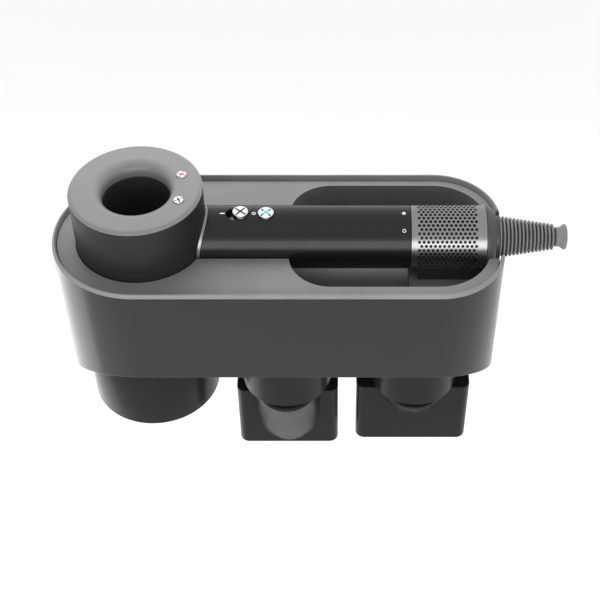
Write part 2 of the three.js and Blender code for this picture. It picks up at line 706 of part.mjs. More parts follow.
// ---------------------------------------------------------------- attachments
// Each hangs from a steel ring that the dock's magnet holds, and turns on that ring.
function addDiffuser() {
  const { x, y, r, height, edge, wall, ringR } = DIFFUSER;
  const bottom = -height;
  const lipR = ringR - 4;
  const shell = turned([
    [ringR + GAP, 0],
    [r, 0],
    [r, bottom + edge],
    [r - edge, bottom],
    [r - wall, bottom],
    [r - wall, -RING_H - wall],
    [lipR, -RING_H - wall],
    [lipR, -RING_H - GAP],
    [ringR + GAP, -RING_H - GAP],
  ]);
  add('diffuser_ring', ring(ringR - RING_WIDTH, ringR, -RING_H, 0), STEEL, x, y, HANG_Z);
  add('diffuser_shell', shell, NOZZLE_GREY, x, y, HANG_Z);

  const { rise, thick, slotStart, slotEnd, prongAt, prongR } = GRILLE;
  const top = bottom + rise;
  const low = top - thick;
  const slots = Array.from({ length: 6 }, (_, i) => (
    box(slotStart, slotEnd, -2, 2, low - OVER, top + OVER).rotateZ(i * Math.PI / 3)
  ));
  const prongs = Array.from({ length: 6 }, (_, i) => {
    const angle = (i + 0.5) * Math.PI / 3;
    const [px, py] = [prongAt * Math.cos(angle), prongAt * Math.sin(angle)];
    return rod(prongR, bottom + 2, low + thick / 2, px, py, 10);
  });
  const plate = cut(rod(r - wall - GAP, low, top, 0, 0, 48), ...slots);
  add('diffuser_grille', join(plate, ...prongs), RUBBER, x, y, HANG_Z);
}

// The throat between a nozzle's collar and its blade, drawn in by inset: an oval column whose
// depth shrinks evenly down to the blade's, and whose width follows a power of the way down.
function throatOf({ throat, collarEnd }, inset, top = collarEnd - NECK_DROP) {
  const { startX, endX, startY, endY, end, power } = throat;
  const start = collarEnd - NECK_DROP;
  const steps = 8;
  const heights = Array.from({ length: steps + 1 }, (_, i) => top + (end - top) * i / steps);
  const profile = [[0, top], ...heights.map((z) => [1, z]), [0, end]];
  const geometry = new THREE.LatheGeometry(profile.map(([r, z]) => new THREE.Vector2(r, z)), 32)
    .rotateX(Math.PI / 2);
  const p = geometry.attributes.position;
  for (let i = 0; i < p.count; i += 1) {
    const way = (start - p.getZ(i)) / (start - end);
    const halfX = startX + (endX - startX) * way ** power - inset;
    const halfY = startY + (endY - startY) * way - inset;
    p.setXY(i, p.getX(i) * halfX, p.getY(i) * halfY);
  }
  return geometry;
}

// A round collar over a throat that runs into a flat blade with an outlet slot below.
function addNozzle(spec) {
  const { name, x, y, collarR, collarEnd, halfX, top, bottom, slotY } = spec;
  const ringR = collarR - 4;
  const boreR = Math.min(ringR - 3, spec.throat.startX - NOZZLE_WALL);
  const blade = roundedRectangle(-halfX, halfX, -BLADE_HALF_Y, BLADE_HALF_Y, NOZZLE_CORNER);
  const ductX = halfX - NOZZLE_WALL;
  const ductY = BLADE_HALF_Y - NOZZLE_WALL;
  const ductCorner = NOZZLE_CORNER - NOZZLE_WALL;
  const duct = roundedRectangle(-ductX, ductX, -ductY, ductY, ductCorner);
  const throatHigh = collarEnd - NECK_DROP;
  const outside = join(
    rod(collarR, collarEnd, HANG_Z, 0, 0, 32),
    rod(collarR - NECK_INSET, throatHigh - OVER, collarEnd + OVER, 0, 0, 32),
    throatOf(spec, 0),
    slab(blade, bottom, top),
  );
  const withinBlade = box(-ductX, ductX, -collarR, collarR, bottom + 2 * OVER, collarEnd);
  const shell = cut(
    outside,
    rod(ringR + GAP, HANG_Z - RING_H - GAP, HANG_Z + OVER, 0, 0, 32),
    common(throatOf(spec, NOZZLE_WALL, throatHigh - NOZZLE_WALL), withinBlade),
    rod(boreR, throatHigh - NOZZLE_WALL - OVER, HANG_Z, 0, 0, 32),
    slab(duct, bottom - OVER, top - NOZZLE_WALL),
  );
  add(`${name}_ring`, ring(ringR - RING_WIDTH, ringR, HANG_Z - RING_H, HANG_Z, 32), STEEL, x, y, 0);
  add(`${name}_shell`, shell, NOZZLE_GREY, x, y, 0);

  const plug = roundedRectangle(GAP - ductX, ductX - GAP, GAP - ductY, ductY - GAP, ductCorner);
  const outletTop = bottom + OUTLET_DEPTH;
  const outlet = cut(
    slab(plug, bottom + OVER, outletTop),
    box(4 - ductX, ductX - 4, -slotY, slotY, bottom, outletTop + OVER),
  );
  add(`${name}_outlet`, outlet, BORE_GREY, x, y, 0);
}

// ---------------------------------------------------------------- build
addShell();
addTray();
addBase();
addPads();
addWallFixing();
addHead();
addNeck();
addHandle();
addMotor();
addCage();
addCordExit();
addDiffuser();
addNozzle(SLIM);
addNozzle(WIDE);

export default station;
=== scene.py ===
"""Looks for the wall-mounted hair-dryer styling station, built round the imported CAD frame.

Shapes are drawn in millimetres round one point: the axis of the dryer's head, just above the
holder's deck. X runs along the holder, Y towards the wall and Z up. place() puts them in the
row frame.
"""
import math

import bmesh
import bpy
from mathutils import Matrix, Vector


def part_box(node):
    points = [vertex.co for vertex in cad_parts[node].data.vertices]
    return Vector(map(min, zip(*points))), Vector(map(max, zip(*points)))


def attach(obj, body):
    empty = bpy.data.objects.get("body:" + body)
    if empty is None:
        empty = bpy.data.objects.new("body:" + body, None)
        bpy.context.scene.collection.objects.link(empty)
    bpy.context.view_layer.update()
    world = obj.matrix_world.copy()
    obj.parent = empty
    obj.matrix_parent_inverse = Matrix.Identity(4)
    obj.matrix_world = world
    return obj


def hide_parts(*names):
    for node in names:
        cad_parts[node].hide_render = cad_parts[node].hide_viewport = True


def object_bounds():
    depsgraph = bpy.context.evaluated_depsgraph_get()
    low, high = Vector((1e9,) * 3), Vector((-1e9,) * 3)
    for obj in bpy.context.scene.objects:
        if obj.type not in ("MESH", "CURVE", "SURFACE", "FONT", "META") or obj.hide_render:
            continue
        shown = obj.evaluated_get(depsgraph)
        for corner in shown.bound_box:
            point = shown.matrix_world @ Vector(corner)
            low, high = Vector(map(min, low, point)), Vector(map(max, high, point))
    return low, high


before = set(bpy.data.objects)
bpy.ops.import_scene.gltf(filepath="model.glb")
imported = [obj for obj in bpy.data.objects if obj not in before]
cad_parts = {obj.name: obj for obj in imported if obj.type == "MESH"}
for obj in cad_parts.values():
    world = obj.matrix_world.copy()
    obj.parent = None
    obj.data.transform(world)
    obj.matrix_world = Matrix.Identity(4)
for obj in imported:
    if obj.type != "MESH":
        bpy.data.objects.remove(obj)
cad_low, cad_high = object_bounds()

# ------------------------------------------------------------------ sizes from the frame
MM = 0.001


def corners(node):
    """A CAD node's box in millimetres round the design point."""
    low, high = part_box(node)
    return (low - ORIGIN) / MM, (high - ORIGIN) / MM


DECK = -0.8
head_low, head_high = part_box("head_shell")
deck_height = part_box("top_tray")[1].z
ORIGIN = Vector((
    (head_low.x + head_high.x) / 2,
    (head_low.y + head_high.y) / 2,
    deck_height - DECK * MM,
))

SHELL_LOW, SHELL_HIGH = corners("holder_shell")
BASE_LOW, BASE_HIGH = corners("base_plate")
HEAD_LOW, HEAD_HIGH = corners("head_shell")
FACE_LOW, FACE_HIGH = corners("head_face")
TUBE_LOW, TUBE_HIGH = corners("handle_tube")
CAGE_LOW, CAGE_HIGH = corners("filter_cage")
CAP_LOW, CAP_HIGH = corners("cage_end_cap")
RELIEF_LOW, RELIEF_HIGH = corners("strain_relief")

# Holder
HALF_DEPTH = SHELL_HIGH.y
HOLDER_RIGHT = SHELL_HIGH.x
BOTTOM = BASE_LOW.z
CHEEK_SLOPE = (BOTTOM - SHELL_LOW.z) / (2 * HALF_DEPTH)
CORNER_R = 40.0
WALL = 5.0
RIM_RISE = 2.4
RIM_WALL = 2.2
RIM_BEVEL = 0.9
DECK_INSET = 3.0
GAP = 0.3
SKIN = 2.5
LEDGE = DECK - SKIN - GAP
WELL_R = 39.5
WELL_FLOOR = -61.0
DRAIN_R = 16.0
CHANNEL_R = 19.5
POCKET = (88.5, 208.0, -42.6, 45.5)
POCKET_LEFT_R = 25.0
POCKET_RIGHT_R = 32.0
POCKET_FLOOR = -31.4
STEP_X = 160.6
STEP_FLOOR = -24.0
CORD_SLOT_X = 200.0

# Dryer
HEAD_R = HEAD_HIGH.x
HEAD_TOP = FACE_HIGH.z
HEAD_BOTTOM = HEAD_LOW.z
BORE_R = 20.0
LIP_R = 6.7
FACE_CHAMFER = 1.7
HANDLE_R = (TUBE_HIGH.y - TUBE_LOW.y) / 2
HANDLE_Z = TUBE_LOW.z + HANDLE_R
HANDLE_TOP = HANDLE_Z + HANDLE_R
HANDLE_WALL = 2.0
NECK_WIDTH = 1.4
SLIDER_X = 60.0
SLIDER_R = 4.65
SLIDER_TRAVEL = 3.6
COOL_X = 75.0
COOL_R = 4.7
FACE_BUTTON_R = 3.0
DASH_X = 49.3
SLIDER_O_X = 67.9
CAGE_MARK_X = 156.4

# Round buttons, as shares of the button's radius
PETAL_OUTER = 0.84
PETAL_INNER = 0.26
PETAL_GAP = 0.15
INLAY_LENGTH = 0.46
INLAY_WIDTH = 0.15

# Filter cage
HOLE_PITCH = 2.68
HOLE_COLUMNS = 13
HOLE_ROWS = 48
HOLE_R = 0.95
CAGE_THICK = 1.2
HOLES_START = 164.0

# Strain relief; the dark core, painted shade for the grooves between the ribs, lies a share of the
# ribs' depth below them
RIB_PITCH = 2.26
RIBS = 15
RELIEF_ROOT_R = 12.7
RELIEF_TIP_R = 7.6
RIB_DEPTH = 2.6
GROOVE_SHADE_DEPTH = 0.75
CORD_HOLE_R = 3.7

# Pad under the dryer's head
PAD_INNER_R = 24.0
PAD_OUTER_R = 38.0

# Attachments
HANG_Z = BOTTOM - GAP
DIFFUSER_R = 41.2
DIFFUSER_HEIGHT = 60.3
DIFFUSER_EDGE = 1.0
BLADE_HALF_Y = 8.3
BLADE_CORNER = 5.8
NOZZLE_WALL = 2.6
NECK_DROP = 1.0
NECK_INSET = 3.0
THROAT_R = 30.0
THROAT_ROUND = 2.4
SLIM = {
    "name": "slim_nozzle", "r": 28.2, "collar_end": -98.8, "top": -107.2, "slot": 3.0,
    "throat_x": (22.3, 12.0), "throat_y": (30.6, 8.0), "throat_end": -159.0, "power": 8,
}
WIDE = {
    "name": "wide_nozzle", "r": 27.0, "collar_end": -98.8, "top": -103.8, "slot": 2.6,
    "throat_x": (22.0, 15.5), "throat_y": (29.3, 8.0), "throat_end": -130.4, "power": 1,
}

# Camera and stage
CAMERA_AT = (114.86, -565.11, 534.62)
CAMERA_PITCH = 46.382
CAMERA_LENS = 77.77
CAMERA_SHIFT = (-0.0557, 0.0037)
FLOOR_BELOW = 320.0
FLOOR_HALF = 6000.0
OBJECT_MIDDLE = (80, 0, -20)


# ------------------------------------------------------------------ outlines and profiles
def arc(cx, cy, r, start, end, steps):
    """Points on a circle from start to end, in degrees."""
    points = []
    for i in range(steps + 1):
        angle = math.radians(start + (end - start) * i / steps)
        points.append((cx + r * math.cos(angle), cy + r * math.sin(angle)))
    return points


def fillet(points, radii, steps=5):
    """A closed polygon with each corner rounded by its radius."""
    rounded = []
    count = len(points)
    for i, point in enumerate(points):
        r = radii[i] if isinstance(radii, (list, tuple)) else radii
        here = Vector(point)
        before = Vector(points[i - 1]) - here
        after = Vector(points[(i + 1) % count]) - here
        if r <= 0:
            rounded.append(tuple(here))
            continue
        half = before.angle(after) / 2
        run = min(r / math.tan(half), before.length * 0.49, after.length * 0.49)
        start = here + before.normalized() * run
        end = here + after.normalized() * run
        for k in range(steps + 1):
            t = k / steps
            rounded.append(tuple(start.lerp(here, t).lerp(here.lerp(end, t), t)))
    return rounded


def rounded_rectangle(x0, x1, y0, y1, left_r, right_r, steps=14):
    return (
        arc(x0 + left_r, y0 + left_r, left_r, 180, 270, steps)
        + arc(x1 - right_r, y0 + right_r, right_r, 270, 360, steps)
        + arc(x1 - right_r, y1 - right_r, right_r, 0, 90, steps)
        + arc(x0 + left_r, y1 - left_r, left_r, 90, 180, steps)
    )


def holder_outline(inset):
    """The holder seen from above: a half circle at the left, two rounded corners at the right."""
    cx = HOLDER_RIGHT - CORNER_R
    cy = HALF_DEPTH - CORNER_R
    return (
        arc(0, 0, HALF_DEPTH - inset, 90, 270, 88)
        + arc(cx, -cy, CORNER_R - inset, 270, 360, 32)
        + arc(cx, cy, CORNER_R - inset, 0, 90, 32)
    )


# ------------------------------------------------------------------ solids
def lathe(profile, sides=128):
    """A closed profile of (radius, height) turned about Z. Points on the axis become one."""
    bm = bmesh.new()
    rings = []
    for r, h in profile:
        if r < 1e-6:
            rings.append([bm.verts.new((0, 0, h))] * sides)
            continue
        ring = []
        for k in range(sides):
            angle = 2 * math.pi * k / sides
            ring.append(bm.verts.new((r * math.cos(angle), r * math.sin(angle), h)))
        rings.append(ring)
    for i, ring in enumerate(rings):
        other = rings[(i + 1) % len(rings)]
        for k in range(sides):
            n = (k + 1) % sides
            corners_of_face = list(dict.fromkeys([ring[k], ring[n], other[n], other[k]]))
            if len(corners_of_face) > 2:
                bm.faces.new(corners_of_face)
    return facing_out(bm)


def swept_rim(outline_of, profile):
    """A closed profile of (inset, height, low) carried round an outline. The height of a low
    point is counted from the holder's lower edge."""
    bm = bmesh.new()
    edge = [lower_edge(y) for x, y in outline_of(0)]
    loops = []
    for inset, h, low in profile:
        loop = []
        for (x, y), bottom in zip(outline_of(inset), edge):
            loop.append(bm.verts.new((x, y, h + bottom if low else h)))
        loops.append(loop)
    for i, loop in enumerate(loops):
        other = loops[(i + 1) % len(loops)]
        for k in range(len(loop)):
            n = (k + 1) % len(loop)
            bm.faces.new((loop[k], loop[n], other[n], other[k]))
    return facing_out(bm)


def prism(outline, z0, z1):
    bm = bmesh.new()
    low = [bm.verts.new((x, y, z0)) for x, y in outline]
    high = [bm.verts.new((x, y, z1)) for x, y in outline]
    bm.faces.new(low)
    bm.faces.new(high)
    for k in range(len(low)):
        n = (k + 1) % len(low)
        bm.faces.new((low[k], low[n], high[n], high[k]))
    bmesh.ops.remove_doubles(bm, verts=bm.verts, dist=1e-5)
    return facing_out(bm)


def block(x0, x1, y0, y1, z0, z1):
    return prism([(x0, y0), (x1, y0), (x1, y1), (x0, y1)], z0, z1)


def rod(r, z0, z1, x=0.0, y=0.0, sides=96):
    return moved(lathe([(0, z0), (r, z0), (r, z1), (0, z1)], sides), x, y, 0)


def facing_out(bm):
    bmesh.ops.recalc_face_normals(bm, faces=bm.faces)
    return bm


def moved(bm, x, y, z):
    bmesh.ops.translate(bm, verts=bm.verts, vec=(x, y, z))
    return bm


def along_handle(bm):
    """Turns a shape made about Z so that it lies about the handle's axis, its height along +X."""
    bmesh.ops.rotate(bm, verts=bm.verts, matrix=Matrix.Rotation(math.radians(90), 3, "Y"))
    return moved(bm, 0, 0, HANDLE_Z)


def facing_room(bm):
    """Turns a shape made about Z so that its height runs away from the wall, along -Y."""
    bmesh.ops.rotate(bm, verts=bm.verts, matrix=Matrix.Rotation(math.radians(90), 3, "X"))
    return bm


def spun(bm, angle):
    """Turns a shape about Z, in degrees."""
    bmesh.ops.rotate(bm, verts=bm.verts, matrix=Matrix.Rotation(math.radians(angle), 3, "Z"))
    return bm


def handle_lathe(profile, sides=128):
    return along_handle(lathe(profile, sides))


def handle_rod(r, x0, x1, sides=128):
    return handle_lathe([(0, x0), (r, x0), (r, x1), (0, x1)], sides)


def wrapped(bm, radius, angle=0.0):
    """Bends a flat shape onto the handle: its x stays, its y runs round and its z is height.
    Angle 0 is the top, and it grows towards the front, in degrees."""
    for v in bm.verts:
        turn = math.radians(angle) - v.co.y / radius
        r = radius + v.co.z
        v.co = Vector((v.co.x, -r * math.sin(turn), HANDLE_Z + r * math.cos(turn)))
    return facing_out(bm)


def temporary(bm):
    mesh = bpy.data.meshes.new("temporary")
    bm.to_mesh(mesh)
    bm.free()
    obj = bpy.data.objects.new("temporary", mesh)
    bpy.context.scene.collection.objects.link(obj)
    return obj


def evaluated(obj):
    """The object's mesh with its modifiers applied, as a bmesh. The object is removed."""
    depsgraph = bpy.context.evaluated_depsgraph_get()
    mesh = bpy.data.meshes.new_from_object(obj.evaluated_get(depsgraph))
    bm = bmesh.new()
    bm.from_mesh(mesh)
    bpy.data.meshes.remove(mesh)
    bpy.data.meshes.remove(obj.data)
    return bm


def combined(base, other, operation):
    a = temporary(base)
    b = temporary(other)
    modifier = a.modifiers.new("combine", "BOOLEAN")
    modifier.operation = operation
    modifier.solver = "EXACT"
    modifier.object = b
    bm = evaluated(a)
    bpy.data.meshes.remove(b.data)
    bmesh.ops.remove_doubles(bm, verts=bm.verts, dist=1e-4)
    bmesh.ops.dissolve_degenerate(bm, edges=bm.edges, dist=1e-4)
    return bm


def joined(first, *others):
    for other in others:
        first = combined(first, other, "UNION")
    return first


def cut(first, *tools):
    for tool in tools:
        first = combined(first, tool, "DIFFERENCE")
    return first


def common(first, other):
    return combined(first, other, "INTERSECT")


def bevelled(bm, width, segments=3, angle=32):
    """Rounds every edge sharper than angle."""
    obj = temporary(bm)
    modifier = obj.modifiers.new("round", "BEVEL")
    modifier.width = width
    modifier.segments = segments
    modifier.limit_method = "ANGLE"
    modifier.angle_limit = math.radians(angle)
    modifier.use_clamp_overlap = True
    return evaluated(obj)


def merged(*parts):
    """Several separate shells kept side by side in one mesh."""
    whole = bmesh.new()
    for part in parts:
        mesh = bpy.data.meshes.new("part")
        part.to_mesh(mesh)
        part.free()
        whole.from_mesh(mesh)
        bpy.data.meshes.remove(mesh)
    return whole


def place(name, bm, material, body, nodes=(), weighted=False, sharp=38):
    """Puts a finished shape into the scene as a piece that rides on a body."""
    mesh = bpy.data.meshes.new(name)
    bm.to_mesh(mesh)
    bm.free()
    mesh.transform(Matrix.Translation(ORIGIN) @ Matrix.Scale(MM, 4))
    mesh.shade_smooth()
    mesh.set_sharp_from_angle(angle=math.radians(sharp))
    mesh.materials.append(material)
    obj = bpy.data.objects.new(name, mesh)
    bpy.context.scene.collection.objects.link(obj)
    if weighted:
        modifier = obj.modifiers.new("weighted", "WEIGHTED_NORMAL")
        modifier.keep_sharp = True
    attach(obj, body)
    if nodes:
        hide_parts(*nodes)
    return obj


# ------------------------------------------------------------------ materials
class Nodes:
    """A short way to build a material's node tree."""

    def __init__(self, name):
        self.material = bpy.data.materials.new(name)
        self.material.use_nodes = True
        self.tree = self.material.node_tree
        self.shader = self.tree.nodes["Principled BSDF"]
        self.coordinates = self.add("ShaderNodeTexCoord").outputs["Object"]

    def add(self, kind, **settings):
        node = self.tree.nodes.new(kind)
        for key, value in settings.items():
            setattr(node, key, value)
        return node

    def link(self, source, target):
        self.tree.links.new(source, target)

    def stretched(self, scale):
        mapping = self.add("ShaderNodeMapping")
        mapping.inputs["Scale"].default_value = scale
        self.link(self.coordinates, mapping.inputs["Vector"])
        return mapping.outputs["Vector"]

    def noise(self, size_mm, detail=3.0, vector=None):
        node = self.add("ShaderNodeTexNoise")
        node.inputs["Scale"].default_value = 1 / (size_mm * MM)
        node.inputs["Detail"].default_value = detail
        self.link(vector or self.coordinates, node.inputs["Vector"])
        return node.outputs["Fac"]

    def spread(self, value, low, high):
        """Maps the middle of a noise to the range low to high."""
        node = self.add("ShaderNodeMapRange")
        node.inputs["From Min"].default_value = 0.3
        node.inputs["From Max"].default_value = 0.7
        node.inputs["To Min"].default_value = low
        node.inputs["To Max"].default_value = high
        self.link(value, node.inputs["Value"])
        return node.outputs["Result"]

    def blend(self, factor, first, second):
        node = self.add("ShaderNodeMix", data_type="RGBA")
        node.inputs["A"].default_value = (*first, 1)
        node.inputs["B"].default_value = (*second, 1)
        self.link(factor, node.inputs["Factor"])
        return node.outputs["Result"]

    def bump(self, height, depth_mm, strength=1.0, below=None):
        node = self.add("ShaderNodeBump")
        node.inputs["Strength"].default_value = strength
        node.inputs["Distance"].default_value = depth_mm * MM
        self.link(height, node.inputs["Height"])
        if below:
            self.link(below, node.inputs["Normal"])
        return node.outputs["Normal"]


def shaded(colour, amount):
    return tuple(max(0.0, c * amount) for c in colour)


def moulded(name, colour, roughness, grain_mm=0.5, grain_depth=0.012, variation=0.07, specular=0.5):
    """Moulded plastic: a fine spark-eroded grain, faint flow marks and uneven gloss."""
    n = Nodes(name)
    flow = n.noise(28, 2)
    grain = n.noise(grain_mm, 4)
    tint = n.blend(
        n.spread(flow, 0, 1), shaded(colour, 1 - variation), shaded(colour, 1 + variation),
    )
    n.link(tint, n.shader.inputs["Base Color"])
    gloss = n.spread(n.noise(9, 4), roughness * 0.92, roughness * 1.08)
    n.link(gloss, n.shader.inputs["Roughness"])
    wave = n.bump(flow, 0.05, 0.25)
    n.link(n.bump(grain, grain_depth, 0.6, wave), n.shader.inputs["Normal"])
    n.shader.inputs["Specular IOR Level"].default_value = specular
    return n.material


def brushed(name, colour, roughness, grain=(1, 1, 14), line_mm=0.5, depth=0.01, metallic=1.0):
    """Metal with fine lines. grain squeezes the lines along an axis, so they run across it."""
    n = Nodes(name)
    lines = n.noise(line_mm, 5, n.stretched(grain))
    tint = n.blend(n.spread(lines, 0, 1), shaded(colour, 0.88), shaded(colour, 1.1))
    n.link(tint, n.shader.inputs["Base Color"])
    n.link(n.spread(lines, roughness * 0.8, roughness * 1.2), n.shader.inputs["Roughness"])
    n.link(n.bump(lines, depth, 0.5), n.shader.inputs["Normal"])
    n.shader.inputs["Metallic"].default_value = metallic
    return n.material


def rubbery(name, colour, roughness=0.75):
    """Soft rubber: fine pores, a dusty bloom and a faint sheen."""
    n = Nodes(name)
    bloom = n.noise(6, 5)
    pores = n.add("ShaderNodeTexVoronoi")
    pores.inputs["Scale"].default_value = 1 / (0.6 * MM)
    n.link(n.coordinates, pores.inputs["Vector"])
    tint = n.blend(n.spread(bloom, 0, 1), shaded(colour, 0.85), shaded(colour, 1.2))
    n.link(tint, n.shader.inputs["Base Color"])
    n.link(n.spread(bloom, roughness * 0.9, roughness * 1.1), n.shader.inputs["Roughness"])
    n.link(n.bump(pores.outputs["Distance"], 0.02, 0.4), n.shader.inputs["Normal"])
    n.shader.inputs["Sheen Weight"].default_value = 0.1
    return n.material


def enamel(name, colour, roughness=0.25):
    """A small glossy printed or enamelled part with a slight orange peel."""
    n = Nodes(name)
    peel = n.noise(1.2, 2)
    tint = n.blend(n.spread(peel, 0, 1), shaded(colour, 0.95), shaded(colour, 1.04))
    n.link(tint, n.shader.inputs["Base Color"])
    n.link(n.spread(peel, roughness * 0.9, roughness * 1.1), n.shader.inputs["Roughness"])
    n.link(n.bump(peel, 0.01, 0.3), n.shader.inputs["Normal"])
    n.shader.inputs["Coat Weight"].default_value = 0.3
    return n.material


def circuit_board(name):
    """Green lacquer over a maze of straight tracks."""
    n = Nodes(name)
    tracks = n.add("ShaderNodeTexBrick")
    tracks.inputs["Scale"].default_value = 1 / (3.2 * MM)
    tracks.inputs["Mortar Size"].default_value = 0.09
    tracks.inputs["Color1"].default_value = (0.01, 0.07, 0.03, 1)
    tracks.inputs["Color2"].default_value = (0.012, 0.09, 0.04, 1)
    tracks.inputs["Mortar"].default_value = (0.05, 0.22, 0.08, 1)
    n.link(n.coordinates, tracks.inputs["Vector"])
    n.link(tracks.outputs["Color"], n.shader.inputs["Base Color"])
    n.link(n.spread(n.noise(4), 0.3, 0.45), n.shader.inputs["Roughness"])
    n.link(n.bump(tracks.outputs["Fac"], 0.04, 0.6), n.shader.inputs["Normal"])
    return n.material


def woven_screen(name):
    """Fine woven wire: two sets of crossing threads."""
    n = Nodes(name)
    threads = []
    for direction in ("X", "Z"):
        wave = n.add("ShaderNodeTexWave", bands_direction=direction)
        wave.inputs["Scale"].default_value = 1 / (1.4 * MM)
        n.link(n.coordinates, wave.inputs["Vector"])
        threads.append(wave.outputs["Fac"])
    weave = n.add("ShaderNodeMath", operation="MULTIPLY")
    n.link(threads[0], weave.inputs[0])
    n.link(threads[1], weave.inputs[1])
    tint = n.blend(weave.outputs["Value"], (0.02, 0.02, 0.021), (0.2, 0.2, 0.205))
    n.link(tint, n.shader.inputs["Base Color"])
    n.link(n.spread(n.noise(3), 0.4, 0.6), n.shader.inputs["Roughness"])
    n.link(n.bump(weave.outputs["Value"], 0.05, 0.8), n.shader.inputs["Normal"])
    n.shader.inputs["Metallic"].default_value = 0.7
    return n.material


def windings(name):
    """Lacquered copper wire laid in turns."""
    n = Nodes(name)
    turns = n.add("ShaderNodeTexWave", bands_direction="X")
    turns.inputs["Scale"].default_value = 1 / (4 * MM)
    n.link(n.coordinates, turns.inputs["Vector"])
    tint = n.blend(turns.outputs["Fac"], (0.25, 0.08, 0.03), (0.75, 0.32, 0.14))
    n.link(tint, n.shader.inputs["Base Color"])
    n.link(n.spread(n.noise(2), 0.25, 0.4), n.shader.inputs["Roughness"])
    n.link(n.bump(turns.outputs["Fac"], 0.2, 0.8), n.shader.inputs["Normal"])
    n.shader.inputs["Metallic"].default_value = 1.0
    return n.material


SHELL = moulded("shell_plastic", (0.006, 0.006, 0.0062), 0.2, grain_depth=0.004, specular=0.4)
TRAY = moulded("tray_plastic", (0.155, 0.155, 0.157), 0.45, grain_mm=0.6)
RIM = moulded("rim_plastic", (0.2, 0.2, 0.202), 0.4, grain_mm=0.6, grain_depth=0.008)
FACE = moulded(
    "face_paint", (0.165, 0.165, 0.168), 0.34, grain_mm=0.25, grain_depth=0.005, variation=0.03,
)
HEAD = moulded(
    "head_plastic", (0.011, 0.011, 0.0112), 0.5, grain_mm=0.3, grain_depth=0.004, specular=0.3,
)
HANDLE = moulded(
    "handle_plastic", (0.0045, 0.0045, 0.0047), 0.24, grain_mm=0.3, grain_depth=0.002, specular=0.35,
)
BORE = moulded("bore_plastic", (0.03, 0.03, 0.031), 0.24, grain_mm=0.4, grain_depth=0.002)
CAP = moulded("cap_plastic", (0.045, 0.045, 0.046), 0.45)
NOZZLE = moulded(
    "nozzle_plastic", (0.014, 0.014, 0.0144), 0.26, grain_mm=0.4, grain_depth=0.004, specular=0.1,
)
CAGE = brushed("cage_metal", (0.26, 0.26, 0.264), 0.26, grain=(12, 1, 1), line_mm=2.0, depth=0.005)
CHROME = brushed("bright_metal", (0.8, 0.8, 0.81), 0.14, grain=(1, 1, 3), line_mm=1.5, depth=0.003)
NECK = brushed("neck_metal", (0.24, 0.24, 0.244), 0.3, grain=(1, 1, 3), line_mm=1.5, depth=0.003)
STEEL = brushed("plain_steel", (0.52, 0.52, 0.53), 0.4, grain=(1, 8, 8), line_mm=2.5)
MAGNET = brushed("magnet_nickel", (0.6, 0.58, 0.55), 0.22, grain=(2, 2, 1), line_mm=1.0, depth=0.004)
ALUMINIUM = brushed("machined_aluminium", (0.72, 0.72, 0.73), 0.28, grain=(9, 1, 1), line_mm=1.6)
RUBBER = rubbery("black_rubber", (0.018, 0.018, 0.019))
RELIEF = rubbery("relief_rubber", (0.15, 0.15, 0.152), 0.55)
FOAM = rubbery("foam", (0.4, 0.4, 0.39), 0.9)
WHITE = enamel("white_enamel", (0.86, 0.86, 0.87))
CYAN = enamel("cyan_enamel", (0.03, 0.42, 0.62))
RED = enamel("red_enamel", (0.72, 0.01, 0.02))
INK = enamel("pale_ink", (0.72, 0.72, 0.73), 0.5)
DARK = enamel("dark_enamel", (0.012, 0.012, 0.013), 0.35)
BOARD = circuit_board("circuit_board")
SCREEN = woven_screen("woven_screen")
COPPER = windings("copper_windings")
CERAMIC = moulded("ceramic", (0.62, 0.56, 0.46), 0.7, grain_mm=0.8, grain_depth=0.04)


# ------------------------------------------------------------------ holder
def cord_slot():
    """The U-shaped way out for the cord, through the holder's right end."""
    half = arc(0, 0, CHANNEL_R, 180, 360, 48)
    outline = half + [(CHANNEL_R, 40), (-CHANNEL_R, 40)]
    bm = prism(outline, CORD_SLOT_X, HOLDER_RIGHT + 5)
    turn = Matrix(((0, 0, 1), (1, 0, 0), (0, 1, 0)))
    bmesh.ops.rotate(bm, verts=bm.verts, matrix=turn)
    return moved(facing_out(bm), 0, 0, HANDLE_Z)


def lower_edge(y):
    """The height of the holder's lower edge, which falls towards the wall."""
    return BOTTOM - CHEEK_SLOPE * (y + HALF_DEPTH)


def build_shell():
    """The side wall with its sloping lower edge, and the raised rim that runs round its top."""
    wall = [
        (0.0, 0.0, False), (RIM_WALL, 0.0, False), (RIM_WALL, LEDGE, False), (WALL, LEDGE, False),
        (WALL, 0.4, True), (WALL - 0.4, 0.0, True), (0.9, 0.0, True), (0.25, 0.25, True),
        (0.0, 0.9, True),
    ]
    shell = swept_rim(holder_outline, wall)
    place(
        "holder_shell_skin", cut(shell, cord_slot()), SHELL, "holder",
        ["holder_shell"], weighted=True,
    )
    rim = [
        (0.0, 0.02), (0.05, 0.35), (0.6, RIM_RISE - 0.5), (RIM_BEVEL, RIM_RISE - 0.12),
        (RIM_BEVEL + 0.3, RIM_RISE), (RIM_WALL - 0.6, RIM_RISE), (RIM_WALL - 0.4, RIM_RISE - 0.12),
        (RIM_WALL - 0.2, RIM_RISE - 0.4), (RIM_WALL + 0.4, DECK - 0.2), (RIM_WALL, DECK - 0.4),
        (RIM_WALL, 0.02),
    ]
    band = swept_rim(holder_outline, [(inset, z, False) for inset, z in rim])
    place(
        "holder_rim_band", cut(band, cord_slot()), RIM, "holder", weighted=True,
    )


def pocket_hollow():
    x0, x1, y0, y1 = POCKET
    outline = rounded_rectangle(x0, x1, y0, y1, POCKET_LEFT_R, POCKET_RIGHT_R, 24)
    return cut(
        prism(outline, POCKET_FLOOR, 5),
        block(STEP_X, x1 + 5, y0 - 5, y1 + 5, POCKET_FLOOR - 5, STEP_FLOOR),
    )


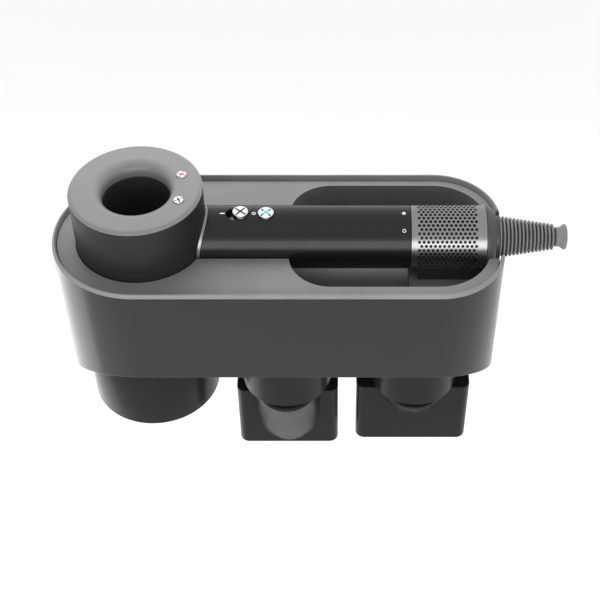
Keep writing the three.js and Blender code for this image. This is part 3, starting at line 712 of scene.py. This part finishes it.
def build_tray():
    x0, x1, y0, y1 = POCKET
    outline = holder_outline(WALL + GAP)
    bucket = rounded_rectangle(
        x0 - SKIN, x1 + SKIN, y0 - SKIN, y1 + SKIN, POCKET_LEFT_R + SKIN, POCKET_RIGHT_R + SKIN, 24,
    )
    lumps = joined(
        rod(WELL_R + SKIN, WELL_FLOOR - SKIN, DECK - 1, sides=160),
        handle_rod(CHANNEL_R + SKIN, WELL_R, x0 + 1),
        prism(bucket, POCKET_FLOOR - SKIN, DECK - 1),
    )
    deck = prism(holder_outline(DECK_INSET), DECK - SKIN, DECK)
    tray = cut(
        joined(deck, common(lumps, prism(outline, BOTTOM, DECK - 1))),
        rod(WELL_R, WELL_FLOOR, 5, sides=160),
        rod(DRAIN_R, WELL_FLOOR - 10, 5),
        handle_rod(CHANNEL_R, 10, x0 + SKIN),
        block(10, x0 + SKIN, -CHANNEL_R, CHANNEL_R, HANDLE_Z, 5),
        pocket_hollow(),
        cord_slot(),
    )
    tray = bevelled(tray, 0.55, 3)
    place("top_tray_skin", tray, TRAY, "holder", ["top_tray"], weighted=True)


def build_base():
    base = bevelled(prism(holder_outline(WALL + GAP), BOTTOM, BASE_HIGH.z), 0.4, 2)
    holes = []
    for i in range(1, 5):
        low, high = corners(f"base_screw_{i}")
        holes.append(moved(screw_hole(), (low.x + high.x) / 2, (low.y + high.y) / 2, BOTTOM))
    base = cut(base, *holes)
    place("base_plate_skin", base, SHELL, "holder", ["base_plate"], weighted=True)


def screw_hole():
    return lathe([(0, -1), (3.5, -1), (3.5, 0), (1.8, 2.3), (1.8, 8), (0, 8)], 40)


def screw():
    """A countersunk screw with a cross recess, its head's face at z = 0 and its shank up."""
    profile = [(0, 0), (3.0, 0), (3.2, 0.2), (1.5, 2.0)]
    for k in range(8):
        z = 2.2 + k * 0.5
        profile += [(1.5, z), (1.2, z + 0.25)]
    profile += [(1.0, 6.4), (0.3, 7.0), (0, 7.0)]
    body = lathe(profile, 32)
    slot = block(-1.8, 1.8, -0.32, 0.32, -1, 0.9)
    other = block(-0.32, 0.32, -1.8, 1.8, -1, 0.9)
    return cut(body, slot, other)


def build_screws():
    for i in range(1, 5):
        low, high = corners(f"base_screw_{i}")
        bm = moved(screw(), (low.x + high.x) / 2, (low.y + high.y) / 2, BOTTOM)
        place(f"base_screw_{i}_cross", bm, STEEL, "holder", [f"base_screw_{i}"])
        low, high = corners(f"plate_screw_{i}")
        bm = moved(facing_room(screw()), (low.x + high.x) / 2, high.y, (low.z + high.z) / 2)
        place(f"plate_screw_{i}_cross", bm, STEEL, "holder", [f"plate_screw_{i}"])


def build_pads():
    low, high = corners("head_pad")
    section = [
        (PAD_INNER_R, low.z), (PAD_OUTER_R, low.z), (PAD_OUTER_R, high.z), (PAD_INNER_R, high.z),
    ]
    ring = lathe(fillet(section, 0.5))
    place("head_pad_ring", ring, RUBBER, "holder", ["head_pad"])
    low, high = corners("cradle_pad")
    saddle = cut(
        block(low.x, high.x, low.y, high.y, low.z, high.z),
        handle_rod(CHANNEL_R, low.x - 1, high.x + 1),
    )
    saddle = bevelled(saddle, 0.5, 3)
    place("cradle_pad_saddle", saddle, RUBBER, "holder", ["cradle_pad"], weighted=True)


def build_wall_fixing():
    low, high = corners("wall_plate")
    middle = (low + high) / 2
    half = (high - low) / 2
    outline = rounded_rectangle(-half.x, half.x, -half.z, half.z, 8, 8)
    plate = facing_room(prism(outline, 0, high.y - low.y))
    plate = bevelled(moved(plate, middle.x, high.y, middle.z), 0.4, 2)
    holes = []
    for i in range(1, 5):
        a, b = corners(f"plate_screw_{i}")
        holes.append(moved(facing_room(screw_hole()), (a.x + b.x) / 2, b.y, (a.z + b.z) / 2))
    place(
        "wall_plate_metal", cut(plate, *holes), STEEL, "holder", ["wall_plate"],
        weighted=True,
    )


# ------------------------------------------------------------------ dryer head
def build_head():
    wall = 2.0
    shell = fillet(
        [
            (HEAD_R - wall, HEAD_BOTTOM), (HEAD_R - 1.7, HEAD_BOTTOM), (HEAD_R, HEAD_BOTTOM + 1.7),
            (HEAD_R, HEAD_HIGH.z), (HEAD_R - wall, HEAD_HIGH.z),
        ],
        [0.1, 0.8, 0.8, 0.3, 0.1],
    )
    place("head_shell_skin", lathe(shell, 192), HEAD, "dryer", ["head_shell"])
    place("head_face_skin", head_face(), FACE, "dryer", ["head_face"], weighted=True)

    low, high = corners("inner_tube")
    tube = fillet(
        [(BORE_R, low.z), (BORE_R + 1.8, low.z), (BORE_R + 1.8, high.z), (BORE_R, high.z)],
        [0.8, 0.4, 0.3, 0.3],
    )
    place("inner_tube_skin", lathe(tube, 160), BORE, "dryer", ["inner_tube"])

    low, high = corners("outlet_ring")
    ring = [(24.5, low.z), (high.x, low.z), (high.x, high.z), (24.5, high.z)]
    grooves = []
    for r in (27.5, 30.5, 33.5):
        grooves += [(r - 0.5, low.z), (r - 0.3, low.z + 0.5), (r + 0.3, low.z + 0.5), (r + 0.5, low.z)]
    ring = [ring[0]] + grooves + ring[1:]
    place("outlet_ring_skin", lathe(ring, 160), BORE, "dryer", ["outlet_ring"])


def head_face():
    """The pale rear ring: a bevelled rim, a flat face and a lip that rolls down into the bore."""
    low = FACE_LOW.z
    back = HEAD_TOP - 2.0
    lip = arc(BORE_R + LIP_R, HEAD_TOP - LIP_R, LIP_R, 90, 180, 14)
    under = arc(BORE_R + LIP_R, HEAD_TOP - LIP_R, LIP_R - 2, 180, 90, 10)
    rim = [
        (HEAD_R - 0.2, back), (HEAD_R, back + 0.15), (HEAD_R, HEAD_TOP - FACE_CHAMFER - 0.15),
        (HEAD_R - 0.12, HEAD_TOP - FACE_CHAMFER + 0.15),
        (HEAD_R - FACE_CHAMFER + 0.2, HEAD_TOP - 0.25),
        (HEAD_R - FACE_CHAMFER - 0.2, HEAD_TOP - 0.04), (HEAD_R - FACE_CHAMFER - 0.6, HEAD_TOP),
    ]
    face = lathe(rim + lip + [(BORE_R, low), (BORE_R + 2, low)] + under, 192)
    holes = [
        rod(FACE_BUTTON_R + GAP, HEAD_TOP - 5, HEAD_TOP + 5, *button_centre(node), 48)
        for node in ("heat_button", "speed_button")
    ]
    return cut(face, *holes)


def button_centre(node):
    low, high = corners(node)
    return (low.x + high.x) / 2, (low.y + high.y) / 2


# ------------------------------------------------------------------ round buttons
def petals(radius, inner, gap, top, height):
    """Four raised sectors between the arms of a cross, as on the dryer's round buttons."""
    sectors = []
    for quarter in range(4):
        start = 45 + 90 * quarter
        lean_out = math.degrees(math.asin(gap / radius))
        lean_in = math.degrees(math.asin(gap / inner))
        outline = (
            arc(0, 0, radius, start + lean_out, start + 90 - lean_out, 14)
            + arc(0, 0, inner, start + 90 - lean_in, start + lean_in, 5)
        )
        sectors.append(bevelled(prism(outline, top - height, top), 0.12, 2))
    return merged(*sectors)


def cross_inlay(length, width, top, height):
    arm = block(-length, length, -width, width, top - height, top)
    other = block(-width, width, -length, length, top - height, top)
    return spun(bevelled(joined(arm, other), 0.06, 1), 45)


def round_button(node, rim, inlay, spin):
    """A bright-rimmed puck with four white petals and, where it has one, a coloured cross."""
    low, high = corners(node)
    x, y = button_centre(node)
    r = (high.x - low.x) / 2
    top = high.z
    edge = [
        (0, low.z), (r, low.z), (r, top - 0.1), (r * 0.88, top - 0.1), (r * 0.84, top - 0.5),
        (0, top - 0.5),
    ]
    puck = moved(lathe(fillet(edge, [0, 0.2, 0.2, 0.1, 0.1, 0], 3), 64), x, y, 0)
    place(f"{node}_puck", puck, rim, node, [node])
    floor = rod(r * 0.83, top - 0.48, top - 0.4, x, y, 48)
    place(f"{node}_floor", floor, DARK, node)
    leaves = spun(petals(r * PETAL_OUTER, r * PETAL_INNER, r * PETAL_GAP, top, 0.42), spin)
    place(f"{node}_petals", moved(leaves, x, y, 0), WHITE, node)
    if inlay:
        cross = spun(cross_inlay(r * INLAY_LENGTH, r * INLAY_WIDTH, top + 0.02, 0.42), spin)
        place(f"{node}_cross", moved(cross, x, y, 0), inlay, node)


def build_buttons():
    round_button("power_slider", CHROME, None, 6)
    round_button("cool_button", CHROME, CYAN, 0)
    round_button("heat_button", CHROME, RED, 20)
    round_button("speed_button", CHROME, None, -20)


# ------------------------------------------------------------------ dryer handle
def slider_slot(margin, depth):
    """The pill-shaped hole that the power slider runs in."""
    r = SLIDER_R + margin
    far = SLIDER_X - SLIDER_TRAVEL
    outline = arc(SLIDER_X, 0, r, -90, 90, 24) + arc(far, 0, r, 90, 270, 24)
    return prism(outline, depth, HANDLE_TOP + 5)


def neck_collar():
    """The bright collar whose flared edge follows the head's curve."""
    bm = bmesh.new()
    start = HEAD_R + GAP
    inner = HANDLE_R - HANDLE_WALL
    profile = [
        (inner, 0.0), (HANDLE_R + 0.25, 0.0), (HANDLE_R + 0.2, 0.35), (HANDLE_R + 0.02, 0.9),
        (HANDLE_R, NECK_WIDTH), (inner, NECK_WIDTH),
    ]
    sides = 144
    rings = []
    for r, run in profile:
        ring = []
        for k in range(sides):
            angle = 2 * math.pi * k / sides
            y = r * math.sin(angle)
            x = math.sqrt(start ** 2 - y ** 2)
            shift = run * start / x
            ring.append(bm.verts.new((x + shift, y, HANDLE_Z + r * math.cos(angle))))
        rings.append(ring)
    for i, ring in enumerate(rings):
        other = rings[(i + 1) % len(rings)]
        for k in range(sides):
            n = (k + 1) % sides
            bm.faces.new((ring[k], ring[n], other[n], other[k]))
    return facing_out(bm)


def build_handle():
    inner = HANDLE_R - HANDLE_WALL
    end = TUBE_HIGH.x
    tube = handle_lathe(
        fillet([(inner, BORE_R), (HANDLE_R, BORE_R), (HANDLE_R, end), (inner, end)], [0, 0, 0.35, 0.2]),
        160,
    )
    tube = cut(
        tube,
        rod(HEAD_R + GAP + NECK_WIDTH + GAP, HEAD_BOTTOM, HEAD_TOP, sides=192),
        slider_slot(0.4, 5),
        rod(COOL_R + 0.4, 5, HANDLE_TOP + 5, COOL_X, 0, 64),
    )
    place("handle_tube_skin", tube, HANDLE, "dryer", ["handle_tube"], weighted=True)
    place("neck_collar_ring", neck_collar(), NECK, "dryer", ["neck_collar"])

    low, high = corners("slider_track")
    track = cut(
        block(low.x, high.x, low.y, high.y, low.z, high.z),
        rod(COOL_R + 1, low.z - 1, high.z + 1, COOL_X, 0, 48),
    )
    track = bevelled(track, 0.25, 2)
    place("slider_track_plate", track, CAGE, "dryer", ["slider_track"], weighted=True)


def build_marks():
    """Printed signs: a dash and an o beside the slider, a dot and an o for the filter cage."""
    thick = 0.05
    bar = block(-1.4, 1.4, -0.4, 0.4, 0, thick)
    place("mark_dash", wrapped(moved(bar, DASH_X, 0, 0), HANDLE_R), INK, "dryer")
    for name, x, outer, inner, angle in (
        ("mark_slider_o", SLIDER_O_X, 1.15, 0.75, 0),
        ("mark_cage_dot", CAGE_MARK_X, 1.05, 0.0, 0),
        ("mark_cage_o", CAGE_MARK_X, 1.1, 0.72, 36),
    ):
        profile = [(inner, 0), (outer, 0), (outer, thick), (inner, thick)]
        ring = moved(lathe(profile, 32), x, 0, 0)
        place(name, wrapped(ring, HANDLE_R, angle), INK, "dryer")


# ------------------------------------------------------------------ filter cage
def cell(bm, x, y, width, depth, radius):
    """A flat rectangle with a round hole; its edges carry points that its neighbours share."""
    edge = []
    for i in range(4):
        edge.append((x - width / 2 + width * i / 4, y - depth / 2))
    for i in range(2):
        edge.append((x + width / 2, y - depth / 2 + depth * i / 2))
    for i in range(4):
        edge.append((x + width / 2 - width * i / 4, y + depth / 2))
    for i in range(2):
        edge.append((x - width / 2, y + depth / 2 - depth * i / 2))
    rim = []
    for px, py in edge:
        angle = math.atan2(py - y, px - x)
        rim.append((x + radius * math.cos(angle), y + radius * math.sin(angle)))
    outer = [bm.verts.new((px, py, 0)) for px, py in edge]
    inner = [bm.verts.new((px, py, 0)) for px, py in rim]
    for k in range(12):
        n = (k + 1) % 12
        bm.faces.new((outer[k], outer[n], inner[n], inner[k]))


def plain_strip(bm, x0, x1, y, depth, columns):
    for i in range(columns):
        a = x0 + (x1 - x0) * i / columns
        b = x0 + (x1 - x0) * (i + 1) / columns
        for half in (-1, 0):
            low = y + depth / 2 * half
            quad = [(a, low), (b, low), (b, low + depth / 2), (a, low + depth / 2)]
            bm.faces.new([bm.verts.new((px, py, 0)) for px, py in quad])


def perforated_sheet():
    """The cage unrolled: staggered rows of holes between two plain bands."""
    bm = bmesh.new()
    depth = 2 * math.pi * HANDLE_R / HOLE_ROWS
    start = HOLES_START
    end = start + (HOLE_COLUMNS + 0.5) * HOLE_PITCH
    for row in range(HOLE_ROWS):
        y = (row + 0.5) * depth
        shift = HOLE_PITCH / 2 * (row % 2)
        for column in range(HOLE_COLUMNS):
            x = start + shift + (column + 0.5) * HOLE_PITCH
            cell(bm, x, y, HOLE_PITCH, depth, HOLE_R)
        if row % 2:
            plain_strip(bm, start, start + HOLE_PITCH / 2, y, depth, 2)
        else:
            plain_strip(bm, end - HOLE_PITCH / 2, end, y, depth, 2)
        plain_strip(bm, CAGE_LOW.x, start, y, depth, 1)
        plain_strip(bm, end, CAGE_HIGH.x, y, depth, 1)
    bmesh.ops.remove_doubles(bm, verts=bm.verts, dist=1e-3)
    return bm


def build_cage():
    wrapped_sheet = wrapped(facing_out(perforated_sheet()), HANDLE_R)
    bmesh.ops.remove_doubles(wrapped_sheet, verts=wrapped_sheet.verts, dist=1e-3)
    sheet = temporary(facing_out(wrapped_sheet))
    solidify = sheet.modifiers.new("thickness", "SOLIDIFY")
    solidify.thickness = CAGE_THICK
    solidify.offset = -1
    cage = evaluated(sheet)
    place("filter_cage_metal", cage, CAGE, "filter_cage", ["filter_cage"], sharp=50)

    low, high = corners("mesh_screen")
    r = high.y
    screen = handle_lathe([(r - 0.8, low.x), (r, low.x), (r, high.x), (r - 0.8, high.x)], 128)
    place("mesh_screen_wire", screen, SCREEN, "filter_mesh", ["mesh_screen"])

    outer = HANDLE_R - 0.2
    cap = fillet(
        [
            (13.4, CAP_LOW.x), (outer, CAP_LOW.x), (outer - 0.1, CAP_LOW.x + 1.5),
            (16.2, CAP_HIGH.x - 0.6), (15.6, CAP_HIGH.x), (13.4, CAP_HIGH.x),
        ],
        [0.2, 0.3, 0.8, 0.4, 0.3, 0.3],
    )
    place("cage_end_cap_skin", handle_lathe(cap), CAP, "filter_cage", ["cage_end_cap"])


# ------------------------------------------------------------------ cord exit
def relief_radius(x):
    share = (x - RELIEF_LOW.x) / (RIBS * RIB_PITCH)
    return RELIEF_ROOT_R + (RELIEF_TIP_R - RELIEF_ROOT_R) * share


def build_gland():
    low, high = corners("cord_gland")
    gland = fillet(
        [
            (3.6, low.x), (5.8, low.x), (5.8, CAGE_HIGH.x + 1), (high.y, CAGE_HIGH.x + 1),
            (high.y, high.x), (3.6, high.x),
        ],
        [0, 0.2, 0.3, 0.4, 0.3, 0],
    )
    place("cord_gland_skin", handle_lathe(gland, 96), CAP, "dryer", ["cord_gland"])


def build_strain_relief():
    """A tapering ribbed sleeve with a flared end, and a dark core that shows between its ribs as
    painted shade in the grooves.
    """
    start = RELIEF_LOW.x
    end = RELIEF_HIGH.x
    profile = [(CORD_HOLE_R, start)]
    for rib in range(RIBS):
        x = start + rib * RIB_PITCH
        for share, dip in ((0.0, 0.15), (0.06, 0.04), (0.12, 0.0), (0.32, 0.0), (0.4, 0.04),
                           (0.46, 0.15), (0.47, 1.0), (0.99, 1.0)):
            at = x + share * RIB_PITCH
            profile.append((relief_radius(at) - RIB_DEPTH * dip, at))
    profile += [
        (5.9, end - 6.0), (5.8, end - 4.4), (6.6, end - 3.0), (7.6, end - 1.8), (7.7, end - 1.0),
        (7.3, end - 0.3), (6.6, end), (CORD_HOLE_R + 0.8, end), (CORD_HOLE_R, end - 0.8),
    ]
    place(
        "strain_relief_ribs", handle_lathe(profile, 96), RELIEF, "dryer",
        ["strain_relief"],
    )
    # A dark rubber sleeve inside the ribs: painted shade that darkens the grooves between them.
    root = RELIEF_ROOT_R - RIB_DEPTH * GROOVE_SHADE_DEPTH
    tip = RELIEF_TIP_R - RIB_DEPTH * GROOVE_SHADE_DEPTH
    groove_shade_end = start + RIBS * RIB_PITCH
    inside = CORD_HOLE_R + 0.2
    groove_shade_profile = [(inside, start + 1), (root, start + 1), (tip, groove_shade_end), (inside, groove_shade_end)]
    place("strain_relief_painted_groove_shade", handle_lathe(groove_shade_profile, 96), RUBBER, "dryer")


# ------------------------------------------------------------------ attachments
def build_diffuser():
    low, high = corners("diffuser_shell")
    x = (low.x + high.x) / 2
    y = (low.y + high.y) / 2
    top = HANG_Z
    bottom = top - DIFFUSER_HEIGHT
    r = DIFFUSER_R
    edge = DIFFUSER_EDGE
    wall = 2.4
    shell = (
        [(34.3, top), (r - 0.8, top), (r - 0.2, top - 0.3), (r, top - 1.0)]
        + arc(r - edge, bottom + edge, edge, 0, -90, 8)
        + [(r - wall + 0.4, bottom), (r - wall, bottom + 0.4)]
        + [(r - wall, top - 5.4), (30, top - 5.4), (30, top - 3.3), (34.3, top - 3.3)]
    )
    place(
        "diffuser_shell_skin", moved(lathe(shell, 192), x, y, 0), NOZZLE, "diffuser",
        ["diffuser_shell"],
    )

    plate_top = corners("diffuser_grille")[1].z
    plate = rod(r - wall - GAP, plate_top - 2, plate_top, sides=128)
    slots = []
    for k in range(12):
        outline = rounded_rectangle(13, 34, -1.2, 1.2, 1.2, 1.2, 6)
        slots.append(spun(prism(outline, plate_top - 5, plate_top + 5), 30 * k))
    plate = cut(plate, *slots)
    prong_low = bottom + 2
    prongs = []
    for count, ring_r, start in ((6, 10.0, 0.0), (12, 24.0, 0.5), (12, 37.0, 0.5)):
        for k in range(count):
            angle = (k + start) * 2 * math.pi / count
            prong = lathe(
                fillet([(0, prong_low), (1.6, prong_low), (2.4, plate_top - 1), (0, plate_top - 1)],
                       [0, 1.0, 0, 0], 4),
                20,
            )
            prongs.append(moved(prong, ring_r * math.cos(angle), ring_r * math.sin(angle), 0))
    grille = moved(merged(plate, *prongs), x, y, 0)
    place(
        "diffuser_grille_prongs", grille, RUBBER, "diffuser", ["diffuser_grille"],
        weighted=True,
    )


def between(ends, share):
    """The value a share of the way from the first of two ends to the second."""
    return ends[0] + (ends[1] - ends[0]) * share


def throat_of(spec, inset, top):
    """The oval column between collar and blade, drawn in by inset. Its depth shrinks evenly down
    to the blade's, and its width follows a power of the way down. Its top edge is rounded."""
    start = spec["collar_end"] - NECK_DROP
    end = spec["throat_end"]
    steps = 32
    profile = [(0.0, top)]
    for out, up in arc(0, 0, 1, 90, 0, 8):
        profile.append((1 - THROAT_ROUND * (1 - out) / THROAT_R, top - THROAT_ROUND * (1 - up)))
    profile += [(1.0, top + (end - top) * i / steps) for i in range(2, steps + 1)]
    bm = lathe(profile + [(0.0, end)], 144)
    for v in bm.verts:
        way = (start - v.co.z) / (start - end)
        v.co.x *= between(spec["throat_x"], way ** spec["power"]) - inset
        v.co.y *= between(spec["throat_y"], way) - inset
    return bm


def blade_outline(half_x, inset, steps):
    """A nozzle's flat blade seen from above, drawn in by inset."""
    x = half_x - inset
    y = BLADE_HALF_Y - inset
    corner = BLADE_CORNER - inset
    return rounded_rectangle(-x, x, -y, y, corner, corner, steps)


def nozzle_shell(spec, half_x, bottom):
    """A round collar, a throat and a flat blade in one, hollow from collar to slot."""
    r = spec["r"]
    ring_r = r - 4
    collar = lathe(
        fillet([(0, spec["collar_end"]), (r, spec["collar_end"]), (r, HANG_Z), (0, HANG_Z)],
               [0, 1.0, 0.4, 0]),
        160,
    )
    blade = bevelled(prism(blade_outline(half_x, 0, 16), bottom, spec["top"]), 0.9, 4)
    duct = prism(blade_outline(half_x, NOZZLE_WALL, 10), bottom - 5, spec["top"] - NOZZLE_WALL)
    duct_x = half_x - NOZZLE_WALL
    throat_top = spec["collar_end"] - NECK_DROP
    neck = rod(r - NECK_INSET, throat_top - 1, spec["collar_end"] + 1, sides=128)
    bore_r = min(ring_r - 3, spec["throat_x"][0] - NOZZLE_WALL)
    within = block(-duct_x, duct_x, -r, r, bottom + 2, spec["collar_end"])
    hollow = common(throat_of(spec, NOZZLE_WALL, throat_top - NOZZLE_WALL), within)
    return cut(
        joined(collar, neck, throat_of(spec, 0, throat_top), blade),
        rod(ring_r + GAP, HANG_Z - 3.3, HANG_Z + 5),
        rod(bore_r, throat_top - NOZZLE_WALL - 1, HANG_Z),
        hollow,
        duct,
    )


def build_nozzle(spec):
    """A nozzle's shell and the outlet insert in its slot."""
    name = spec["name"]
    low, high = corners(f"{name}_shell")
    x = (low.x + high.x) / 2
    y = (low.y + high.y) / 2
    shell = nozzle_shell(spec, (high.x - low.x) / 2, low.z)
    place(
        f"{name}_skin", moved(shell, x, y, 0), NOZZLE, name, [f"{name}_shell"],
        weighted=True,
    )

    low, high = corners(f"{name}_outlet")
    inner_x = (high.x - low.x) / 2
    inner_y = (high.y - low.y) / 2
    corner = BLADE_CORNER - NOZZLE_WALL
    plug = rounded_rectangle(-inner_x, inner_x, -inner_y, inner_y, corner, corner, 8)
    insert = cut(
        bevelled(prism(plug, low.z, high.z), 0.4, 2),
        block(3.7 - inner_x, inner_x - 3.7, -spec["slot"], spec["slot"], low.z - 5, high.z + 5),
    )
    place(
        f"{name}_outlet_insert", moved(insert, x, y, 0), BORE, name,
        [f"{name}_outlet"], weighted=True,
    )


def build_rings():
    """The steel hanging rings, with softened edges."""
    for node, body in (
        ("diffuser_ring", "diffuser_hanger"),
        ("slim_nozzle_ring", "slim_nozzle_hanger"),
        ("wide_nozzle_ring", "wide_nozzle_hanger"),
    ):
        low, high = corners(node)
        r = (high.x - low.x) / 2
        profile = fillet([(r - 6, low.z), (r, low.z), (r, high.z), (r - 6, high.z)], 0.4)
        ring = moved(lathe(profile), (low.x + high.x) / 2, (low.y + high.y) / 2, 0)
        place(f"{node}_steel", ring, STEEL, body, [node])


# ------------------------------------------------------------------ pieces kept from CAD
def finish_kept_nodes():
    """Better materials for the nodes that are shown as CAD made them."""
    finishes = {
        "nozzle_magnet": MAGNET,
        "heater_ring": CERAMIC,
        "button_board": BOARD,
        "main_board": BOARD,
        "motor_mount": RUBBER,
        "motor_stator": COPPER,
        "motor_rotor": ALUMINIUM,
        "inlet_guide": CAP,
        "dock_magnet_left": MAGNET,
        "dock_magnet_middle": MAGNET,
        "dock_magnet_right": MAGNET,
        "adhesive_pad": FOAM,
    }
    for node, material in finishes.items():
        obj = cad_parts[node]
        obj.data.materials.clear()
        obj.data.materials.append(material)


# ------------------------------------------------------------------ stage, light and camera
def plain(name, colour, roughness):
    n = Nodes(name)
    n.link(n.blend(n.noise(60), shaded(colour, 0.995), colour), n.shader.inputs["Base Color"])
    n.shader.inputs["Roughness"].default_value = roughness
    n.shader.inputs["Specular IOR Level"].default_value = 0.0
    return n.material


def build_stage():
    bm = bmesh.new()
    bmesh.ops.create_grid(bm, x_segments=1, y_segments=1, size=FLOOR_HALF)
    mesh = bpy.data.meshes.new("floor")
    bm.to_mesh(mesh)
    bm.free()
    mesh.transform(Matrix.Scale(MM, 4))
    mesh.materials.append(plain("floor_white", (0.93, 0.93, 0.93), 1.0))
    floor = bpy.data.objects.new("floor", mesh)
    floor.location = (0, 0, cad_low.z - FLOOR_BELOW * MM)
    bpy.context.scene.collection.objects.link(floor)


def area_light(name, at, towards, size, power):
    """A rectangular light that the camera doesn't see, with its size in mm and power in watts."""
    light = bpy.data.lights.new(name, "AREA")
    light.shape = "RECTANGLE"
    light.size, light.size_y = size[0] * MM, size[1] * MM
    light.energy = power
    obj = bpy.data.objects.new(name, light)
    obj.location = ORIGIN + Vector(at) * MM
    aim = (Vector(towards) - Vector(at)).normalized()
    obj.rotation_euler = aim.to_track_quat("-Z", "Y").to_euler()
    obj.visible_camera = False
    bpy.context.scene.collection.objects.link(obj)
    return obj


def build_lights():
    """An even white sky, a long softbox in front, a small one behind the head that only fills
    and leaves no highlight, and a glow from below that brightens the holder's left end."""
    world = bpy.data.worlds.new("studio")
    world.use_nodes = True
    background = world.node_tree.nodes["Background"]
    background.inputs["Color"].default_value = (1, 1, 1, 1)
    background.inputs["Strength"].default_value = 1.0
    bpy.context.scene.world = world
    area_light("front_softbox", (80, -1300, 330), OBJECT_MIDDLE, (1500, 700), 9)
    back = area_light("back_softbox", (0, 250, 250), (0, 0, 20), (420, 160), 1.7)
    back.visible_glossy = False
    area_light("left_bounce", (-360, 140, -460), (-360, 140, 0), (400, 500), 0.65)
    bpy.context.scene.view_settings.view_transform = "Standard"


def build_camera():
    camera = bpy.data.cameras.new("camera")
    camera.lens = CAMERA_LENS
    camera.sensor_width = 36
    camera.shift_x, camera.shift_y = CAMERA_SHIFT
    obj = bpy.data.objects.new("camera", camera)
    obj.location = ORIGIN + Vector(CAMERA_AT) * MM
    obj.rotation_euler = (math.radians(90 - CAMERA_PITCH), 0, 0)
    bpy.context.scene.collection.objects.link(obj)
    bpy.context.scene.camera = obj


build_camera()
build_lights()
build_stage()
build_shell()
build_tray()
build_base()
build_screws()
build_pads()
build_wall_fixing()
build_head()
build_buttons()
build_handle()
build_marks()
build_cage()
build_gland()
build_strain_relief()
build_diffuser()
build_nozzle(SLIM)
build_nozzle(WIDE)
build_rings()
finish_kept_nodes()
